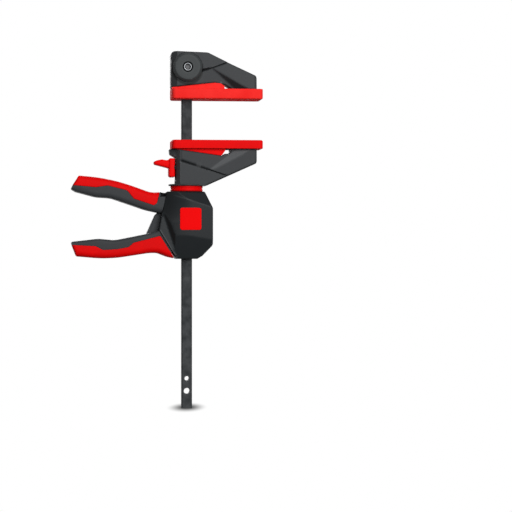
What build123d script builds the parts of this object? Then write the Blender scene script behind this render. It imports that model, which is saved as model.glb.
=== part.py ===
from build123d import *

# Quick release bar clamp: a bar with a fixed jaw, a jaw that slides on the bar with its brake and
# release lever, and a pump grip that swivels about the bar under the sliding jaw.
# Millimetres. +Z runs up the bar, +X from the bar to the jaw tips, +Y to the back.
# The origin is on the bar's axis, in the plane of the fixed jaw's clamping face.
import os
from math import cos, hypot, radians, sin

# ---------------------------------------------------------------- driving dimensions
# bar
bar_width = 9.0  # along X
bar_thickness = 8.0  # along Y
bar_length = 304.5
bar_head_z = 39.0  # the bar's top above the clamping face
bar_edge = 0.9  # chamfer of the long edges
foot_hole_inset = 15.0  # large hole above the bar's foot
hole_pitch = 10.8  # between the large hole and the small one, at both ends
screw_hole_d = 5.2
pin_hole_d = 4.0

# fits
slide_gap = 0.15  # each side, between the bar and what slides on it
snug_gap = 0.03  # each side, between pieces that do not move on each other
run_gap = 0.06  # radial, a shaft that turns in its hole
swivel_gap = 0.2  # axial, between faces that turn on each other
swing_clearance = 0.6  # radial, between the bar's corners and what turns about it

# jaws
throat = 60.2  # from the bar to the pads' tips
opening = 35.1  # between the pads, as posed
head_half = 13.0  # half width of the jaws' heads along Y
arm_half = 11.0  # half width of their arms
head_round = 7.0  # plan radius of the jaws' ends at the bar
fixed_head_back = 9.4  # fixed jaw's material behind the bar
moving_head_back = 5.4  # moving jaw's material behind the bar
head_front = 13.6  # the heads' material in front of the bar
hook_reach = 5.4  # the moving jaw's hook behind its back
tip_setback = 4.8  # from the pads' tips to the jaw arms' tips
seat_setback = 37.6  # from the pads' tips to the ends of their sloping seats
slope_rise = 0.112  # rise per run of the fixed pad's seat
moving_slope = 0.143  # the same for the moving pad's seat
pad_half = 16.0
pad_back = 8.9  # the pads' material behind the bar
pad_seat_rise = 2.8  # the fixed pad's seat above its plate, at the bar
moving_seat_rise = 1.8  # the moving pad's seat below its plate, at the bar
pad_round = 3.5
pad_bevel = 1.8
fixed_pad_thick = 8.8
moving_pad_thick = 7.4
pad_bar_gap = 0.5
wedge_inset = 0.9  # the moving pad's wedge starts inside the jaw's back

# clamp disc, its screw and the locating pin
screw_z = 27.2  # above the clamping face
disc_face_r = 10.7
disc_base_r = 12.6
disc_height = 3.4
disc_sunk = 0.8
screw_d = 5.0
screw_head_d = 7.0
screw_head_h = 2.4
screw_socket = 4.0  # across flats
socket_floor = 0.4  # left under the socket
counterbore_d = 8.6
counterbore_depth = 2.6
nut_flats = 8.0
nut_thick = 3.2
nut_sunk = 0.2
pin_wall = 3.0  # left in front of the locating pin
pin_sunk = 0.3  # the pin's end inside the rear disc's seat

# brake: drops are measured from the moving pad's underside
fulcrum_ahead = 5.0  # in front of the bar
fulcrum_drop = 14.9
fulcrum_r = 1.5
fulcrum_wall = 2.0  # left in front of the fulcrum pin
fulcrum_sunk = 0.8  # the pin's end below the jaw's rear face
brake_tilt = 6.0  # degrees, left end up at rest
brake_thick = 3.0
brake_side = 3.4  # plate beside the bar
brake_overhang = 3.1  # plate's outer end behind the jaw's back
brake_heel = 2.0  # plate in front of the fulcrum
brake_hole_left = 0.15  # play beside the bar
brake_hole_right = 0.6
cavity_margin = 0.6  # beside the plate
cavity_end_gap = 1.1  # beyond the plate's heel
cavity_floor_drop = 26.5
cavity_roof_drop = 13.0
brake_spring_gap = 0.4
brake_spring_r = 1.7
brake_spring_wire = 0.6
lever_inset = 1.0  # lever's side inside the cavity's side
lever_drop = 8.1
shoe_height = 16.2
tab_inset = 0.8  # tab's side inside the lever's

# swivel
jaw_base_drop = 31.7  # bottom of the moving jaw below its pad's underside
base_flange_r = 15.6
base_flange_h = 1.4
neck_wall = 3.0  # beyond the bar's corners
neck_flange_step = 3.0
neck_top_flange_h = 2.8
neck_flange_h = 2.5
neck_cover = 1.2  # the jaw's floor under the neck's top flange
collar_r = 13.9
collar_h = 4.9
washer_thick = 1.0

# grip housing
housing_height = 57.2
facet_depth = 5.0  # the facets round the front and rear faces
facet_angle = 35.0
wall = 2.2
top_wall = 4.0
front_wall = 3.5
boss_length = 3.0  # the trigger pin's bosses
badge_width = 18.2
badge_height = 18.9
badge_thick = 1.0
badge_x = 2.2
badge_drop = 23.5  # its centre below the housing's top

# handles: distances along them are given for the usual length and stretch with it
handle_root_x = -22.4
usual_handle_length = 77.3
handle_length = 77.3
handle_half = 12.5
handle_skin = 0.7  # the soft skin stands proud of the core

# trigger
trigger_half = 12.1
trigger_skin = 0.4
slot_gap = 0.4  # each side of the trigger in the housing
hub_r = 4.5
pivot_drop = 37.2  # below the housing's top
pivot_pin_d = 4.0
web_r = 23.85
web_half = 4.0
nose_r = 2.2
nose_reach = 8.0  # right of the pivot
nose_fall = 4.0  # below the pivot
fork_thick = 3.5
fork_bar_gap = 0.2  # added to the swing clearance beside the bar
root_gap = 1.3  # between the trigger's root and the drive plates
nose_gap = 0.2

# drive
drive_plate_step = 6.0  # plate radius beyond the bar's corners
drive_plate_thick = 1.5
drive_plate_count = 2
drive_spring_step = 1.9
drive_spring_wire = 0.9
seat_washer_thick = 0.6
seat_washer_step = 1.6  # beyond the spring's mean radius
seat_washer_gap = 0.3
plate_room = 0.6  # between the drive plates and the housing

# housing screws
screw_shank_r = 1.5
screw_button_r = 2.8
screw_button_h = 2.0
screw_key = 2.5  # across flats
button_floor = 0.8  # left under the key's socket
screw_length = 20.0
post_r = 3.4
post_gap = 1.0  # between the posts and the drive plates' edge
head_depth = 4.5  # screw seats below the housing's rear face
handle_head_depth = 3.0  # the same in the handle

# ---------------------------------------------------------------- derived places
bar_foot_z = bar_head_z - bar_length
foot_screw_z = bar_foot_z + foot_hole_inset
foot_pin_z = foot_screw_z + hole_pitch
jaw_pin_z = screw_z - hole_pitch
bar_corner_r = hypot(bar_width, bar_thickness) / 2
pad_tip_x = bar_width / 2 + throat
pad_back_x = -bar_width / 2 - pad_back
arm_tip_x = pad_tip_x - tip_setback
jaw_back_x = -bar_width / 2 - fixed_head_back
moving_back_x = -bar_width / 2 - moving_head_back
wedge_back_x = moving_back_x + wedge_inset
shoulder_x = bar_width / 2 + head_front
seat_end_x = pad_tip_x - seat_setback
face_z = -opening  # the moving pad's clamping face
pad_bottom_z = face_z - moving_pad_thick
fulcrum_x = bar_width / 2 + fulcrum_ahead
fulcrum_z = pad_bottom_z - fulcrum_drop
brake_half = bar_thickness / 2 + brake_side
brake_left_x = moving_back_x - brake_overhang
brake_right_x = fulcrum_x + brake_heel
brake_spring_x = -bar_width / 2 - brake_spring_gap - brake_spring_r - brake_spring_wire / 2
cavity_half = brake_half + cavity_margin
cavity_right_x = brake_right_x + cavity_end_gap
cavity_floor_z = pad_bottom_z - cavity_floor_drop
cavity_roof_z = pad_bottom_z - cavity_roof_drop
lever_half = cavity_half - lever_inset
base_z = pad_bottom_z - jaw_base_drop
neck_r = bar_corner_r + neck_wall
neck_flange_r = neck_r + neck_flange_step
housing_top_z = base_z - collar_h - swivel_gap
housing_bottom_z = housing_top_z - housing_height
roof_z = housing_top_z - top_wall
floor_z = housing_bottom_z + wall
washer_z = roof_z - swivel_gap - washer_thick
slot_half = trigger_half + slot_gap
cavity_depth_half = slot_half + boss_length
housing_half = cavity_depth_half + front_wall
housing_flat_half = housing_half - facet_depth
core_half = handle_half - handle_skin
trigger_core_half = trigger_half - trigger_skin
pivot_x = -(bar_corner_r + swing_clearance + hub_r)
pivot_z = housing_top_z - pivot_drop
nose_x = pivot_x + nose_reach
nose_z = pivot_z - nose_fall
fork_inner = bar_corner_r + swing_clearance + fork_bar_gap
drive_top_z = nose_z - nose_r - nose_gap
drive_bottom_z = drive_top_z - drive_plate_count * drive_plate_thick
drive_plate_r = bar_corner_r + drive_plate_step
drive_spring_r = bar_corner_r + drive_spring_step
seat_washer_r = drive_spring_r + seat_washer_step
post_x = drive_plate_r + post_gap + post_r
root_x = -drive_plate_r - root_gap


# ---------------------------------------------------------------- shape helpers
def block(x, y, z):
    """A box between three (low, high) pairs."""
    middle = [(low + high) / 2 for low, high in (x, y, z)]
    return Pos(*middle) * Box(x[1] - x[0], y[1] - y[0], z[1] - z[0])


def drum(radius, low, high, x=0.0, y=0.0):
    """A cylinder along Z."""
    return Pos(x, y, (low + high) / 2) * Cylinder(radius, high - low)


def cross_pin(radius, x, z, low, high):
    """A cylinder along Y."""
    return Pos(x, (low + high) / 2, z) * Rot(90, 0, 0) * Cylinder(radius, high - low)


def side_face(*corners):
    """The face with these corners (x, z, rounding radius), seen from the front."""
    points = [(x, z) for x, z, _ in corners]
    return make_face(Plane.XZ * FilletPolyline(points, radius=[r for *_, r in corners], close=True))


def slab(face, half):
    """A side face made solid, half wide to the front and to the back."""
    return extrude(face, amount=half, both=True)


def plan_slab(x_low, x_high, half, radius, z_low, z_high):
    """A rounded rectangle seen from above, made solid between two heights."""
    outline = RectangleRounded(x_high - x_low, 2 * half, radius)
    return extrude(Pos((x_low + x_high) / 2, 0, z_low) * outline, amount=z_high - z_low)


def bar_hole(gap, low, high):
    """The bar's section grown by a gap on each side."""
    return block(
        (-bar_width / 2 - gap, bar_width / 2 + gap),
        (-bar_thickness / 2 - gap, bar_thickness / 2 + gap),
        (low, high),
    )


def coil(mean_r, wire_r, low, high, turns, x=0.0):
    """A compression spring along Z between two heights."""
    height = high - low - 2 * wire_r
    path = Helix(pitch=height / turns, height=height, radius=mean_r)
    section = Plane(origin=path @ 0, z_dir=path % 0) * Circle(wire_r)
    return Pos(x, 0, low + wire_r) * sweep(section, path=path, is_frenet=True)


def level_to_rest(shape):
    """Tilts a brake piece from level to its rest place about the fulcrum pin."""
    return shape.rotate(Axis((fulcrum_x, 0, fulcrum_z), (0, 1, 0)), brake_tilt)


def save(shape, node):
    """Writes one node."""
    export_step(shape, f"parts/{node}.step")


# ---------------------------------------------------------------- bar and fixed jaw
def make_bar():
    """The bar, with its jaw holes at the head and the same pair at the foot."""
    bar = bar_hole(0, bar_foot_z, bar_head_z)
    bar = chamfer(bar.edges().filter_by(Axis.Z), bar_edge)
    for radius, z in (
        (screw_hole_d / 2, screw_z),
        (pin_hole_d / 2, jaw_pin_z),
        (screw_hole_d / 2, foot_screw_z),
        (pin_hole_d / 2, foot_pin_z),
    ):
        bar -= cross_pin(radius, 0, z, -bar_thickness, bar_thickness)
    return bar


def pad_seat_z(x):
    """Height of the fixed pad's sloping seat."""
    return fixed_pad_thick + pad_seat_rise + slope_rise * x


def moving_seat_z(x):
    """Height of the moving pad's sloping seat."""
    return pad_bottom_z - moving_seat_rise - moving_slope * x


def make_fixed_jaw():
    """The fixed jaw: a head round the bar and an arm that slopes down to the pad's tip."""
    outline = side_face(
        (jaw_back_x, pad_seat_z(jaw_back_x), 0.6),
        (jaw_back_x, bar_head_z + 2.0, 3.0),
        (shoulder_x, bar_head_z + 1.3, 7.0),
        (arm_tip_x - 25.3, bar_head_z - 7.3, 4.0),
        (arm_tip_x, fixed_pad_thick + 11.3, 3.2),
        (arm_tip_x, fixed_pad_thick, 0.4),
        (seat_end_x + 10.2, fixed_pad_thick, 0.4),
        (seat_end_x + 5.0, pad_seat_z(seat_end_x) - 2.0, 1.5),
        (seat_end_x, pad_seat_z(seat_end_x), 1.0),
    )
    head = plan_slab(jaw_back_x, shoulder_x + 12, head_half, head_round, 0, bar_head_z + 5)
    arm = plan_slab(0, arm_tip_x, arm_half, 2.5, 0, bar_head_z + 5)
    jaw = slab(outline, head_half) & (head + arm)
    jaw -= bar_hole(snug_gap, -1, bar_head_z + snug_gap)
    jaw -= cross_pin(screw_hole_d / 2, 0, screw_z, -head_half - 1, head_half + 1)
    jaw -= cross_pin(pin_hole_d / 2, 0, jaw_pin_z, pin_wall - head_half, head_half + 1)
    for low, high in ((-head_half - 1, disc_sunk - head_half), (head_half - disc_sunk, head_half + 1)):
        jaw -= cross_pin(disc_base_r + snug_gap, 0, screw_z, low, high)
    return jaw


def make_clamp_disc():
    """The front clamp disc, with the counterbore of the screw's head."""
    foot_y = disc_sunk - head_half
    disc = Plane((0, foot_y, screw_z), x_dir=(1, 0, 0), z_dir=(0, -1, 0)) * Pos(0, 0, disc_height / 2)
    shape = disc * Cone(disc_base_r, disc_face_r, disc_height)
    top_y = foot_y - disc_height
    shape -= cross_pin(screw_hole_d / 2, 0, screw_z, top_y - 1, foot_y + 1)
    return shape - cross_pin(counterbore_d / 2, 0, screw_z, top_y - 1, top_y + counterbore_depth)


def hexagon(flats, x, z, low, high):
    """A hexagonal prism along Y."""
    prism = extrude(RegularPolygon(flats / 2, 6, major_radius=False), amount=high - low)
    return Pos(x, high, z) * Rot(90, 0, 0) * prism


def make_rear_disc():
    """The rear clamp disc, with the pocket that keeps the nut from turning."""
    disc = mirror(make_clamp_disc(), Plane.XZ)
    top_y = head_half - disc_sunk + disc_height
    disc += cross_pin(counterbore_d / 2 + snug_gap, 0, screw_z, top_y - counterbore_depth, top_y)
    disc -= cross_pin(screw_hole_d / 2, 0, screw_z, head_half - disc_sunk - 1, top_y + 1)
    return disc - hexagon(nut_flats + 2 * snug_gap, 0, screw_z, top_y - nut_thick, top_y + 1)


def make_clamp_screw():
    """The jaw's socket head screw."""
    seat_y = disc_sunk - head_half - disc_height + counterbore_depth
    end_y = head_half - disc_sunk + disc_height
    screw = cross_pin(screw_d / 2, 0, screw_z, seat_y, end_y)
    screw += cross_pin(screw_head_d / 2, 0, screw_z, seat_y - screw_head_h, seat_y)
    return screw - hexagon(screw_socket, 0, screw_z, seat_y - screw_head_h - 1, seat_y - socket_floor)


def make_clamp_nut():
    """The nut in the rear disc."""
    top_y = head_half - disc_sunk + disc_height
    nut = hexagon(nut_flats, 0, screw_z, top_y - nut_thick, top_y - nut_sunk)
    return nut - cross_pin(screw_d / 2 + snug_gap, 0, screw_z, 0, top_y + 1)


def make_locating_pin():
    """The pin that squares the fixed jaw on the bar."""
    end_y = head_half - disc_sunk - pin_sunk
    return cross_pin(pin_hole_d / 2 - snug_gap, 0, jaw_pin_z, pin_wall - head_half, end_y)


def pad_plate(low, high):
    """A pad's plate between two heights, with its clamping face bevelled."""
    plate = plan_slab(pad_back_x, pad_tip_x, pad_half, pad_round, low, high)
    face = plate.faces().sort_by(Axis.Z)[0 if low == 0 else -1]
    return chamfer(face.edges(), pad_bevel)


def make_fixed_pad():
    """The fixed jaw's pad, with the wedge that the jaw's head sits on."""
    wedge = side_face(
        (pad_back_x, fixed_pad_thick - 1, 0),
        (pad_back_x, pad_seat_z(pad_back_x), 0),
        (seat_end_x, pad_seat_z(seat_end_x), 0.9),
        (seat_end_x + 2.4, pad_seat_z(seat_end_x) - 1.3, 0.9),
        (seat_end_x + 4.6, fixed_pad_thick - 1, 0),
    )
    pad = pad_plate(0, fixed_pad_thick) + slab(wedge, arm_half)
    return pad - bar_hole(pad_bar_gap, -1, bar_head_z)


# ---------------------------------------------------------------- moving jaw and brake
def make_moving_pad():
    """The moving jaw's pad."""
    wedge = side_face(
        (wedge_back_x, pad_bottom_z + 1, 0),
        (wedge_back_x, moving_seat_z(wedge_back_x), 0),
        (seat_end_x + 1.6, moving_seat_z(seat_end_x + 1.6), 0.9),
        (seat_end_x + 4.5, moving_seat_z(seat_end_x + 1.6) + 1.0, 0.9),
        (seat_end_x + 5.8, pad_bottom_z + 1, 0),
    )
    pad = pad_plate(pad_bottom_z, face_z) + slab(wedge, arm_half)
    return pad - bar_hole(pad_bar_gap, pad_bottom_z - 20, face_z + 1)


def make_swivel_neck():
    """The metal neck moulded into the moving jaw, which the grip turns on."""
    top_z = base_z + neck_cover + neck_top_flange_h
    foot_z = washer_z - snug_gap - neck_flange_h
    neck = drum(neck_r, foot_z, top_z)
    neck += drum(neck_flange_r, base_z + neck_cover, top_z)
    neck += drum(neck_flange_r, foot_z, foot_z + neck_flange_h)
    return neck - bar_hole(slide_gap, foot_z - 1, top_z + 1)


def make_moving_jaw(neck, moving_pad):
    """The moving jaw, open at the left for the brake plate."""
    back_x = moving_back_x
    outline = side_face(
        (back_x - hook_reach, pad_bottom_z - 1.6, 0.6),
        (back_x - hook_reach + 0.5, pad_bottom_z - 4.9, 1.2),
        (back_x - 1.2, pad_bottom_z - 7.0, 1.0),
        (back_x, pad_bottom_z - 7.6, 0.5),
        (back_x, base_z, 0),
        (shoulder_x - 4.6, base_z, 2.0),
        (arm_tip_x, pad_bottom_z - 12.2, 3.0),
        (arm_tip_x, pad_bottom_z, 0.5),
        (seat_end_x + 12.0, pad_bottom_z, 0.8),
        (seat_end_x + 10.6, pad_bottom_z - 2.7, 1.0),
        (seat_end_x + 6.9, moving_seat_z(seat_end_x + 6.9), 0.8),
        (wedge_back_x, moving_seat_z(wedge_back_x), 0),
        (wedge_back_x - 0.4, pad_bottom_z - 1.6, 0),
    )
    head = plan_slab(back_x - hook_reach, shoulder_x + 12, head_half, head_round, base_z - 1, face_z)
    arm = plan_slab(0, arm_tip_x, arm_half, 2.5, base_z - 1, face_z)
    jaw = slab(outline, head_half) & (head + arm)
    jaw += drum(base_flange_r, base_z, base_z + base_flange_h)
    jaw -= block((back_x - 8, cavity_right_x), (-cavity_half, cavity_half), (cavity_floor_z, cavity_roof_z))
    jaw -= bar_hole(slide_gap, base_z - 1, face_z)
    jaw -= cross_pin(fulcrum_r + snug_gap, fulcrum_x, fulcrum_z, fulcrum_wall - head_half, head_half + 1)
    solid_neck = neck + bar_hole(slide_gap, base_z - 5, base_z + 3)
    return jaw - solid_neck - moving_pad


def make_fulcrum_pin():
    """The pin that the brake plate tilts on."""
    return cross_pin(fulcrum_r, fulcrum_x, fulcrum_z, fulcrum_wall - head_half, head_half - fulcrum_sunk)


def make_brake_plate():
    """The hardened plate that grips the bar when it is tilted."""
    top = fulcrum_z - fulcrum_r - run_gap
    plate = block((brake_left_x, brake_right_x), (-brake_half, brake_half), (top - brake_thick, top))
    plate -= block(
        (-bar_width / 2 - brake_hole_left, bar_width / 2 + brake_hole_right),
        (-bar_thickness / 2 - slide_gap, bar_thickness / 2 + slide_gap),
        (top - brake_thick - 1, top + 1),
    )
    return level_to_rest(plate)


def make_release_lever(brake_plate):
    """The red lever on the brake plate's outer end: a shoe over the window and a finger tab."""
    top, back_x = pad_bottom_z - lever_drop, moving_back_x
    shoe = side_face(
        (back_x - 5.7, top, 1.2),
        (back_x - 0.6, top, 0.6),
        (back_x - 0.6, top - shoe_height, 0.6),
        (back_x - 5.7, top - shoe_height, 1.6),
    )
    tab = side_face(
        (back_x - 4.1, top - 1.0, 0),
        (back_x - 10.4, top - 0.7, 2.0),
        (back_x - 18.9, top - 3.0, 0.9),
        (back_x - 18.3, top - 5.2, 0.9),
        (back_x - 4.1, top - 8.3, 0),
    )
    return slab(shoe, lever_half) + slab(tab, lever_half - tab_inset) - brake_plate


def make_brake_spring():
    """The small spring that tilts the brake plate."""
    underside = fulcrum_z - fulcrum_r - run_gap - brake_thick
    arm = fulcrum_x - brake_spring_x - brake_spring_r
    top = fulcrum_z + arm * sin(radians(brake_tilt)) + (underside - fulcrum_z) * cos(radians(brake_tilt))
    return coil(
        brake_spring_r, brake_spring_wire / 2, cavity_floor_z + 0.02, top - 0.3, 6, brake_spring_x
    )


def make_swivel_collar():
    """The red collar between the moving jaw and the grip."""
    ring = drum(collar_r, base_z - collar_h, base_z)
    ring = chamfer(ring.edges().filter_by(GeomType.CIRCLE), 0.5)
    return ring - drum(neck_r + snug_gap, housing_top_z - 1, base_z + 1)


def make_thrust_washer():
    """The washer that takes the clamping force between the neck and the housing."""
    ring = drum(neck_flange_r, washer_z, washer_z + washer_thick)
    return ring - drum(neck_r + snug_gap, washer_z - 1, washer_z + washer_thick + 1)


# ---------------------------------------------------------------- grip
def reach(distance):
    """X of a place along a handle, a distance from the housing on a handle of the usual length."""
    return handle_root_x - distance * handle_length / usual_handle_length


def housing_outline():
    """The housing seen from the front."""
    top, bottom = housing_top_z, housing_bottom_z
    return side_face(
        (-18.3, top, 1.5),
        (15.7, top, 2.0),
        (22.7, top - 14.2, 3.0),
        (22.7, top - 44.4, 4.0),
        (13.0, bottom + 2.4, 1.0),
        (10.6, bottom, 0.6),
        (-9.6, bottom, 0.6),
        (-10.7, bottom + 2.2, 0.6),
        (-24.3, top - 32.9, 1.2),
        (-21.9, top - 19.4, 1.0),
        (-19.0, top - 5.3, 1.0),
    )


def upper_handle_outline():
    """The whole upper handle seen from the front, run into the housing."""
    z = housing_top_z
    return side_face(
        (-15.0, z - 3.5, 0),
        (-24.0, z - 1.1, 3.0),
        (reach(8.0), z - 1.6, 8.0),
        (reach(25.1), z + 4.8, 20.0),
        (reach(38.2), z + 8.9, 20.0),
        (reach(54.9), z + 12.1, 20.0),
        (reach(70.5), z + 13.5, 1.5),
        (reach(77.3), z + 2.9, 1.5),
        (reach(73.3), z + 0.4, 3.0),
        (reach(55.8), z - 4.2, 8.0),
        (reach(43.4), z - 5.0, 8.0),
        (reach(13.3), z - 15.6, 10.0),
        (-24.0, z - 18.4, 1.5),
        (-15.0, z - 18.4, 0),
    )


def upper_grip_area():
    """Where the upper handle is soft: everything above this line of the handle."""
    z = housing_top_z
    return side_face(
        (-23.6, z - 1.6, 0),
        (-26.4, z - 9.9, 1.5),
        (reach(6.5), z - 11.9, 1.5),
        (reach(23.7), z - 6.3, 3.0),
        (reach(29.5), z + 0.8, 4.0),
        (reach(46.1), z + 4.9, 4.0),
        (reach(55.8), z + 3.4, 3.0),
        (reach(79.0), z + 5.5, 0),
        (reach(79.0), z + 20.0, 0),
        (-23.6, z + 20.0, 0),
    )


housing_posts = (
    (post_x, housing_top_z - 11.2),
    (post_x, housing_top_z - 46.6),
    (-post_x, housing_top_z - 8.6),
    (reach(38.0), housing_top_z - 0.9),
)


def make_housing():
    """Both halves of the housing in one solid, with the upper handle's core."""
    outline = housing_outline()
    body = slab(outline, housing_flat_half)
    for side in (-1, 1):
        face = Pos(0, side * housing_flat_half, 0) * outline
        body += extrude(face, amount=facet_depth, dir=(0, side, 0), taper=facet_angle)
    body += slab(upper_handle_outline(), core_half) - slab(upper_grip_area(), handle_half + 1)
    cavity = slab(offset(outline, amount=-wall), cavity_depth_half)
    body -= cavity & block((-40, 40), (-20, 20), (floor_z, roof_z))
    for x, z in housing_posts:
        body += cross_pin(post_r, x, z, -cavity_depth_half - 0.5, cavity_depth_half + 0.5)
    for side in (-1, 1):
        low, high = sorted((side * (slot_half + 0.1), side * (cavity_depth_half + 0.5)))
        body += cross_pin(hub_r, pivot_x, pivot_z, low, high)
    body -= drum(seat_washer_r + seat_washer_gap, floor_z, drive_bottom_z)
    body -= drum(drive_plate_r + plate_room, drive_bottom_z - 4, drive_top_z + nose_gap)
    body -= drum(neck_r + run_gap, roof_z - 1, housing_top_z + 1)
    body -= drum(bar_corner_r + swing_clearance, housing_bottom_z - 1, floor_z + 1)
    body -= block((-60, -9.9), (-slot_half, slot_half), (housing_bottom_z - 1, housing_top_z - 20.2))
    body -= cross_pin(web_r + 0.5, pivot_x, pivot_z, -web_half - 0.5, web_half + 0.5)
    body -= cross_pin(pivot_pin_d / 2 + snug_gap, pivot_x, pivot_z, -cavity_depth_half, cavity_depth_half)
    return body


def badge_plate(y_low, y_high, grow):
    """The badge's rounded square between two depths, grown by a clearance."""
    outline = RectangleRounded(badge_width + 2 * grow, badge_height + 2 * grow, 2.0 + grow)
    at = Plane((badge_x, y_high, housing_top_z - badge_drop), x_dir=(1, 0, 0), z_dir=(0, -1, 0))
    return extrude(at * outline, amount=y_high - y_low)


def screw_seat_y(x):
    """Underside of a housing screw's head: deeper in the handle than in the housing."""
    return housing_half - head_depth if x > handle_root_x else core_half - handle_head_depth


def make_housing_screws():
    """The screws that hold the halves together, driven from the rear."""
    screws = []
    for x, z in housing_posts:
        seat = screw_seat_y(x)
        screw = cross_pin(screw_shank_r, x, z, seat - screw_length, seat)
        screw += cross_pin(screw_button_r, x, z, seat, seat + screw_button_h)
        socket = hexagon(screw_key, x, z, seat + button_floor, seat + screw_button_h + 1)
        screws.append(screw - socket)
    return Compound(children=screws)


def split_housing(housing):
    """The front and rear halves, each with its screw holes and badge recess."""
    front = housing & block((-120, 40), (-30, 0), (housing_bottom_z - 5, housing_top_z + 30))
    rear = housing & block((-120, 40), (0, 30), (housing_bottom_z - 5, housing_top_z + 30))
    for x, z in housing_posts:
        seat = screw_seat_y(x)
        front -= cross_pin(screw_shank_r + snug_gap, x, z, seat - screw_length - 0.5, 1)
        rear -= cross_pin(screw_shank_r + snug_gap, x, z, -1, 30)
        rear -= cross_pin(screw_button_r + 0.3, x, z, seat, 30)
    front -= badge_plate(-housing_half - 1, badge_thick - housing_half, snug_gap)
    rear -= badge_plate(housing_half - badge_thick, housing_half + 1, snug_gap)
    return front, rear


def make_upper_grip():
    """The soft skin on top of the upper handle."""
    return slab(upper_handle_outline(), handle_half) & slab(upper_grip_area(), handle_half)


def make_trigger_pin():
    """The trigger's pivot pin."""
    return cross_pin(pivot_pin_d / 2, pivot_x, pivot_z, 0.2 - cavity_depth_half, cavity_depth_half - 0.2)


# ---------------------------------------------------------------- trigger
def trigger_outline():
    """The lower handle and the trigger's root seen from the front."""
    z = housing_top_z
    return side_face(
        (reach(77.0), z - 43.9, 2.0),
        (reach(53.9), z - 40.6, 10.0),
        (reach(39.9), z - 42.2, 10.0),
        (reach(11.8), z - 36.4, 10.0),
        (-24.3, z - 33.2, 0.8),
        (pivot_x, pivot_z + 4.3, 0),
        (pivot_x, pivot_z - 4.3, 0),
        (root_x, pivot_z - 6.0, 0),
        (root_x, floor_z + 3.0, 0),
        (-12.6, housing_bottom_z + 1.8, 0.8),
        (-17.5, z - 54.8, 3.0),
        (reach(10.9), z - 52.4, 10.0),
        (reach(37.3), z - 56.2, 20.0),
        (reach(51.3), z - 56.8, 20.0),
        (reach(72.4), z - 54.8, 2.0),
    )


def trigger_grip_area():
    """Where the trigger is soft: everything below this line of the lower handle."""
    z = housing_top_z
    return side_face(
        (reach(79.0), z - 45.7, 0),
        (reach(55.9), z - 46.9, 3.0),
        (reach(50.0), z - 50.1, 3.0),
        (reach(37.3), z - 49.4, 3.0),
        (reach(27.9), z - 47.6, 3.0),
        (reach(24.0), z - 44.0, 3.0),
        (-23.4, z - 38.0, 1.5),
        (-13.4, z - 53.6, 1.0),
        (-13.4, z - 70.0, 0),
        (reach(79.0), z - 70.0, 0),
    )


def make_trigger():
    """The trigger: lower handle's core, web, hub and the fork that pushes the drive plates."""
    core = slab(trigger_outline(), trigger_core_half) - slab(trigger_grip_area(), trigger_half + 1)
    core += cross_pin(hub_r, pivot_x, pivot_z, -trigger_core_half, trigger_core_half)
    sector = side_face(
        (pivot_x, pivot_z, 0),
        (pivot_x + 40 * cos(radians(115)), pivot_z + 40 * sin(radians(115)), 0),
        (pivot_x - 60, pivot_z + 40, 0),
        (pivot_x - 60, pivot_z - 4.0, 0),
    )
    chord = side_face(
        (reach(5.2), housing_top_z - 16.0, 0),
        (reach(13.0), housing_top_z - 37.5, 0),
        (reach(-30.0), housing_top_z - 37.5, 0),
        (reach(-30.0), housing_top_z - 16.0, 0),
    )
    web = cross_pin(web_r, pivot_x, pivot_z, -web_half, web_half) & slab(sector, web_half)
    core += web & slab(chord, web_half)
    arm = side_face(
        (pivot_x - 3.0, pivot_z - 3.0, 0),
        (pivot_x + 1.8, pivot_z + 3.6, 0),
        (nose_x + 1.0, nose_z + 1.9, 0),
        (nose_x - 0.8, nose_z - 1.9, 0),
    )
    for side in (-1, 1):
        low, high = sorted((side * fork_inner, side * (fork_inner + fork_thick)))
        strip = block((-40, 40), (low, high), (pivot_z - 40, pivot_z + 40))
        core += slab(arm, trigger_half) & strip
        core += cross_pin(nose_r, nose_x, nose_z, low, high)
    core -= cross_pin(pivot_pin_d / 2 + run_gap, pivot_x, pivot_z, -trigger_half - 1, trigger_half + 1)
    return core - drum(bar_corner_r + swing_clearance, housing_bottom_z - 5, housing_top_z)


def make_trigger_grip():
    """The soft skin under the lower handle."""
    return slab(trigger_outline(), trigger_half) & slab(trigger_grip_area(), trigger_half)


# ---------------------------------------------------------------- drive
def make_drive_plates():
    """The round plates that grip the bar when the trigger pushes them."""
    plates = []
    for i in range(drive_plate_count):
        top = drive_top_z - i * drive_plate_thick
        plate = drum(drive_plate_r, top - drive_plate_thick, top)
        plates.append(plate - bar_hole(slide_gap, top - 5, top + 5))
    return Compound(children=plates)


def make_seat_washer():
    """The washer under the drive spring."""
    ring = drum(seat_washer_r, floor_z, floor_z + seat_washer_thick)
    return ring - drum(bar_corner_r + swing_clearance, floor_z - 1, floor_z + 2)


def make_drive_spring():
    """The spring that returns the drive plates and the trigger."""
    low = floor_z + seat_washer_thick + 0.02
    return coil(drive_spring_r, drive_spring_wire / 2, low, drive_bottom_z - 0.05, 4)


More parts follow.
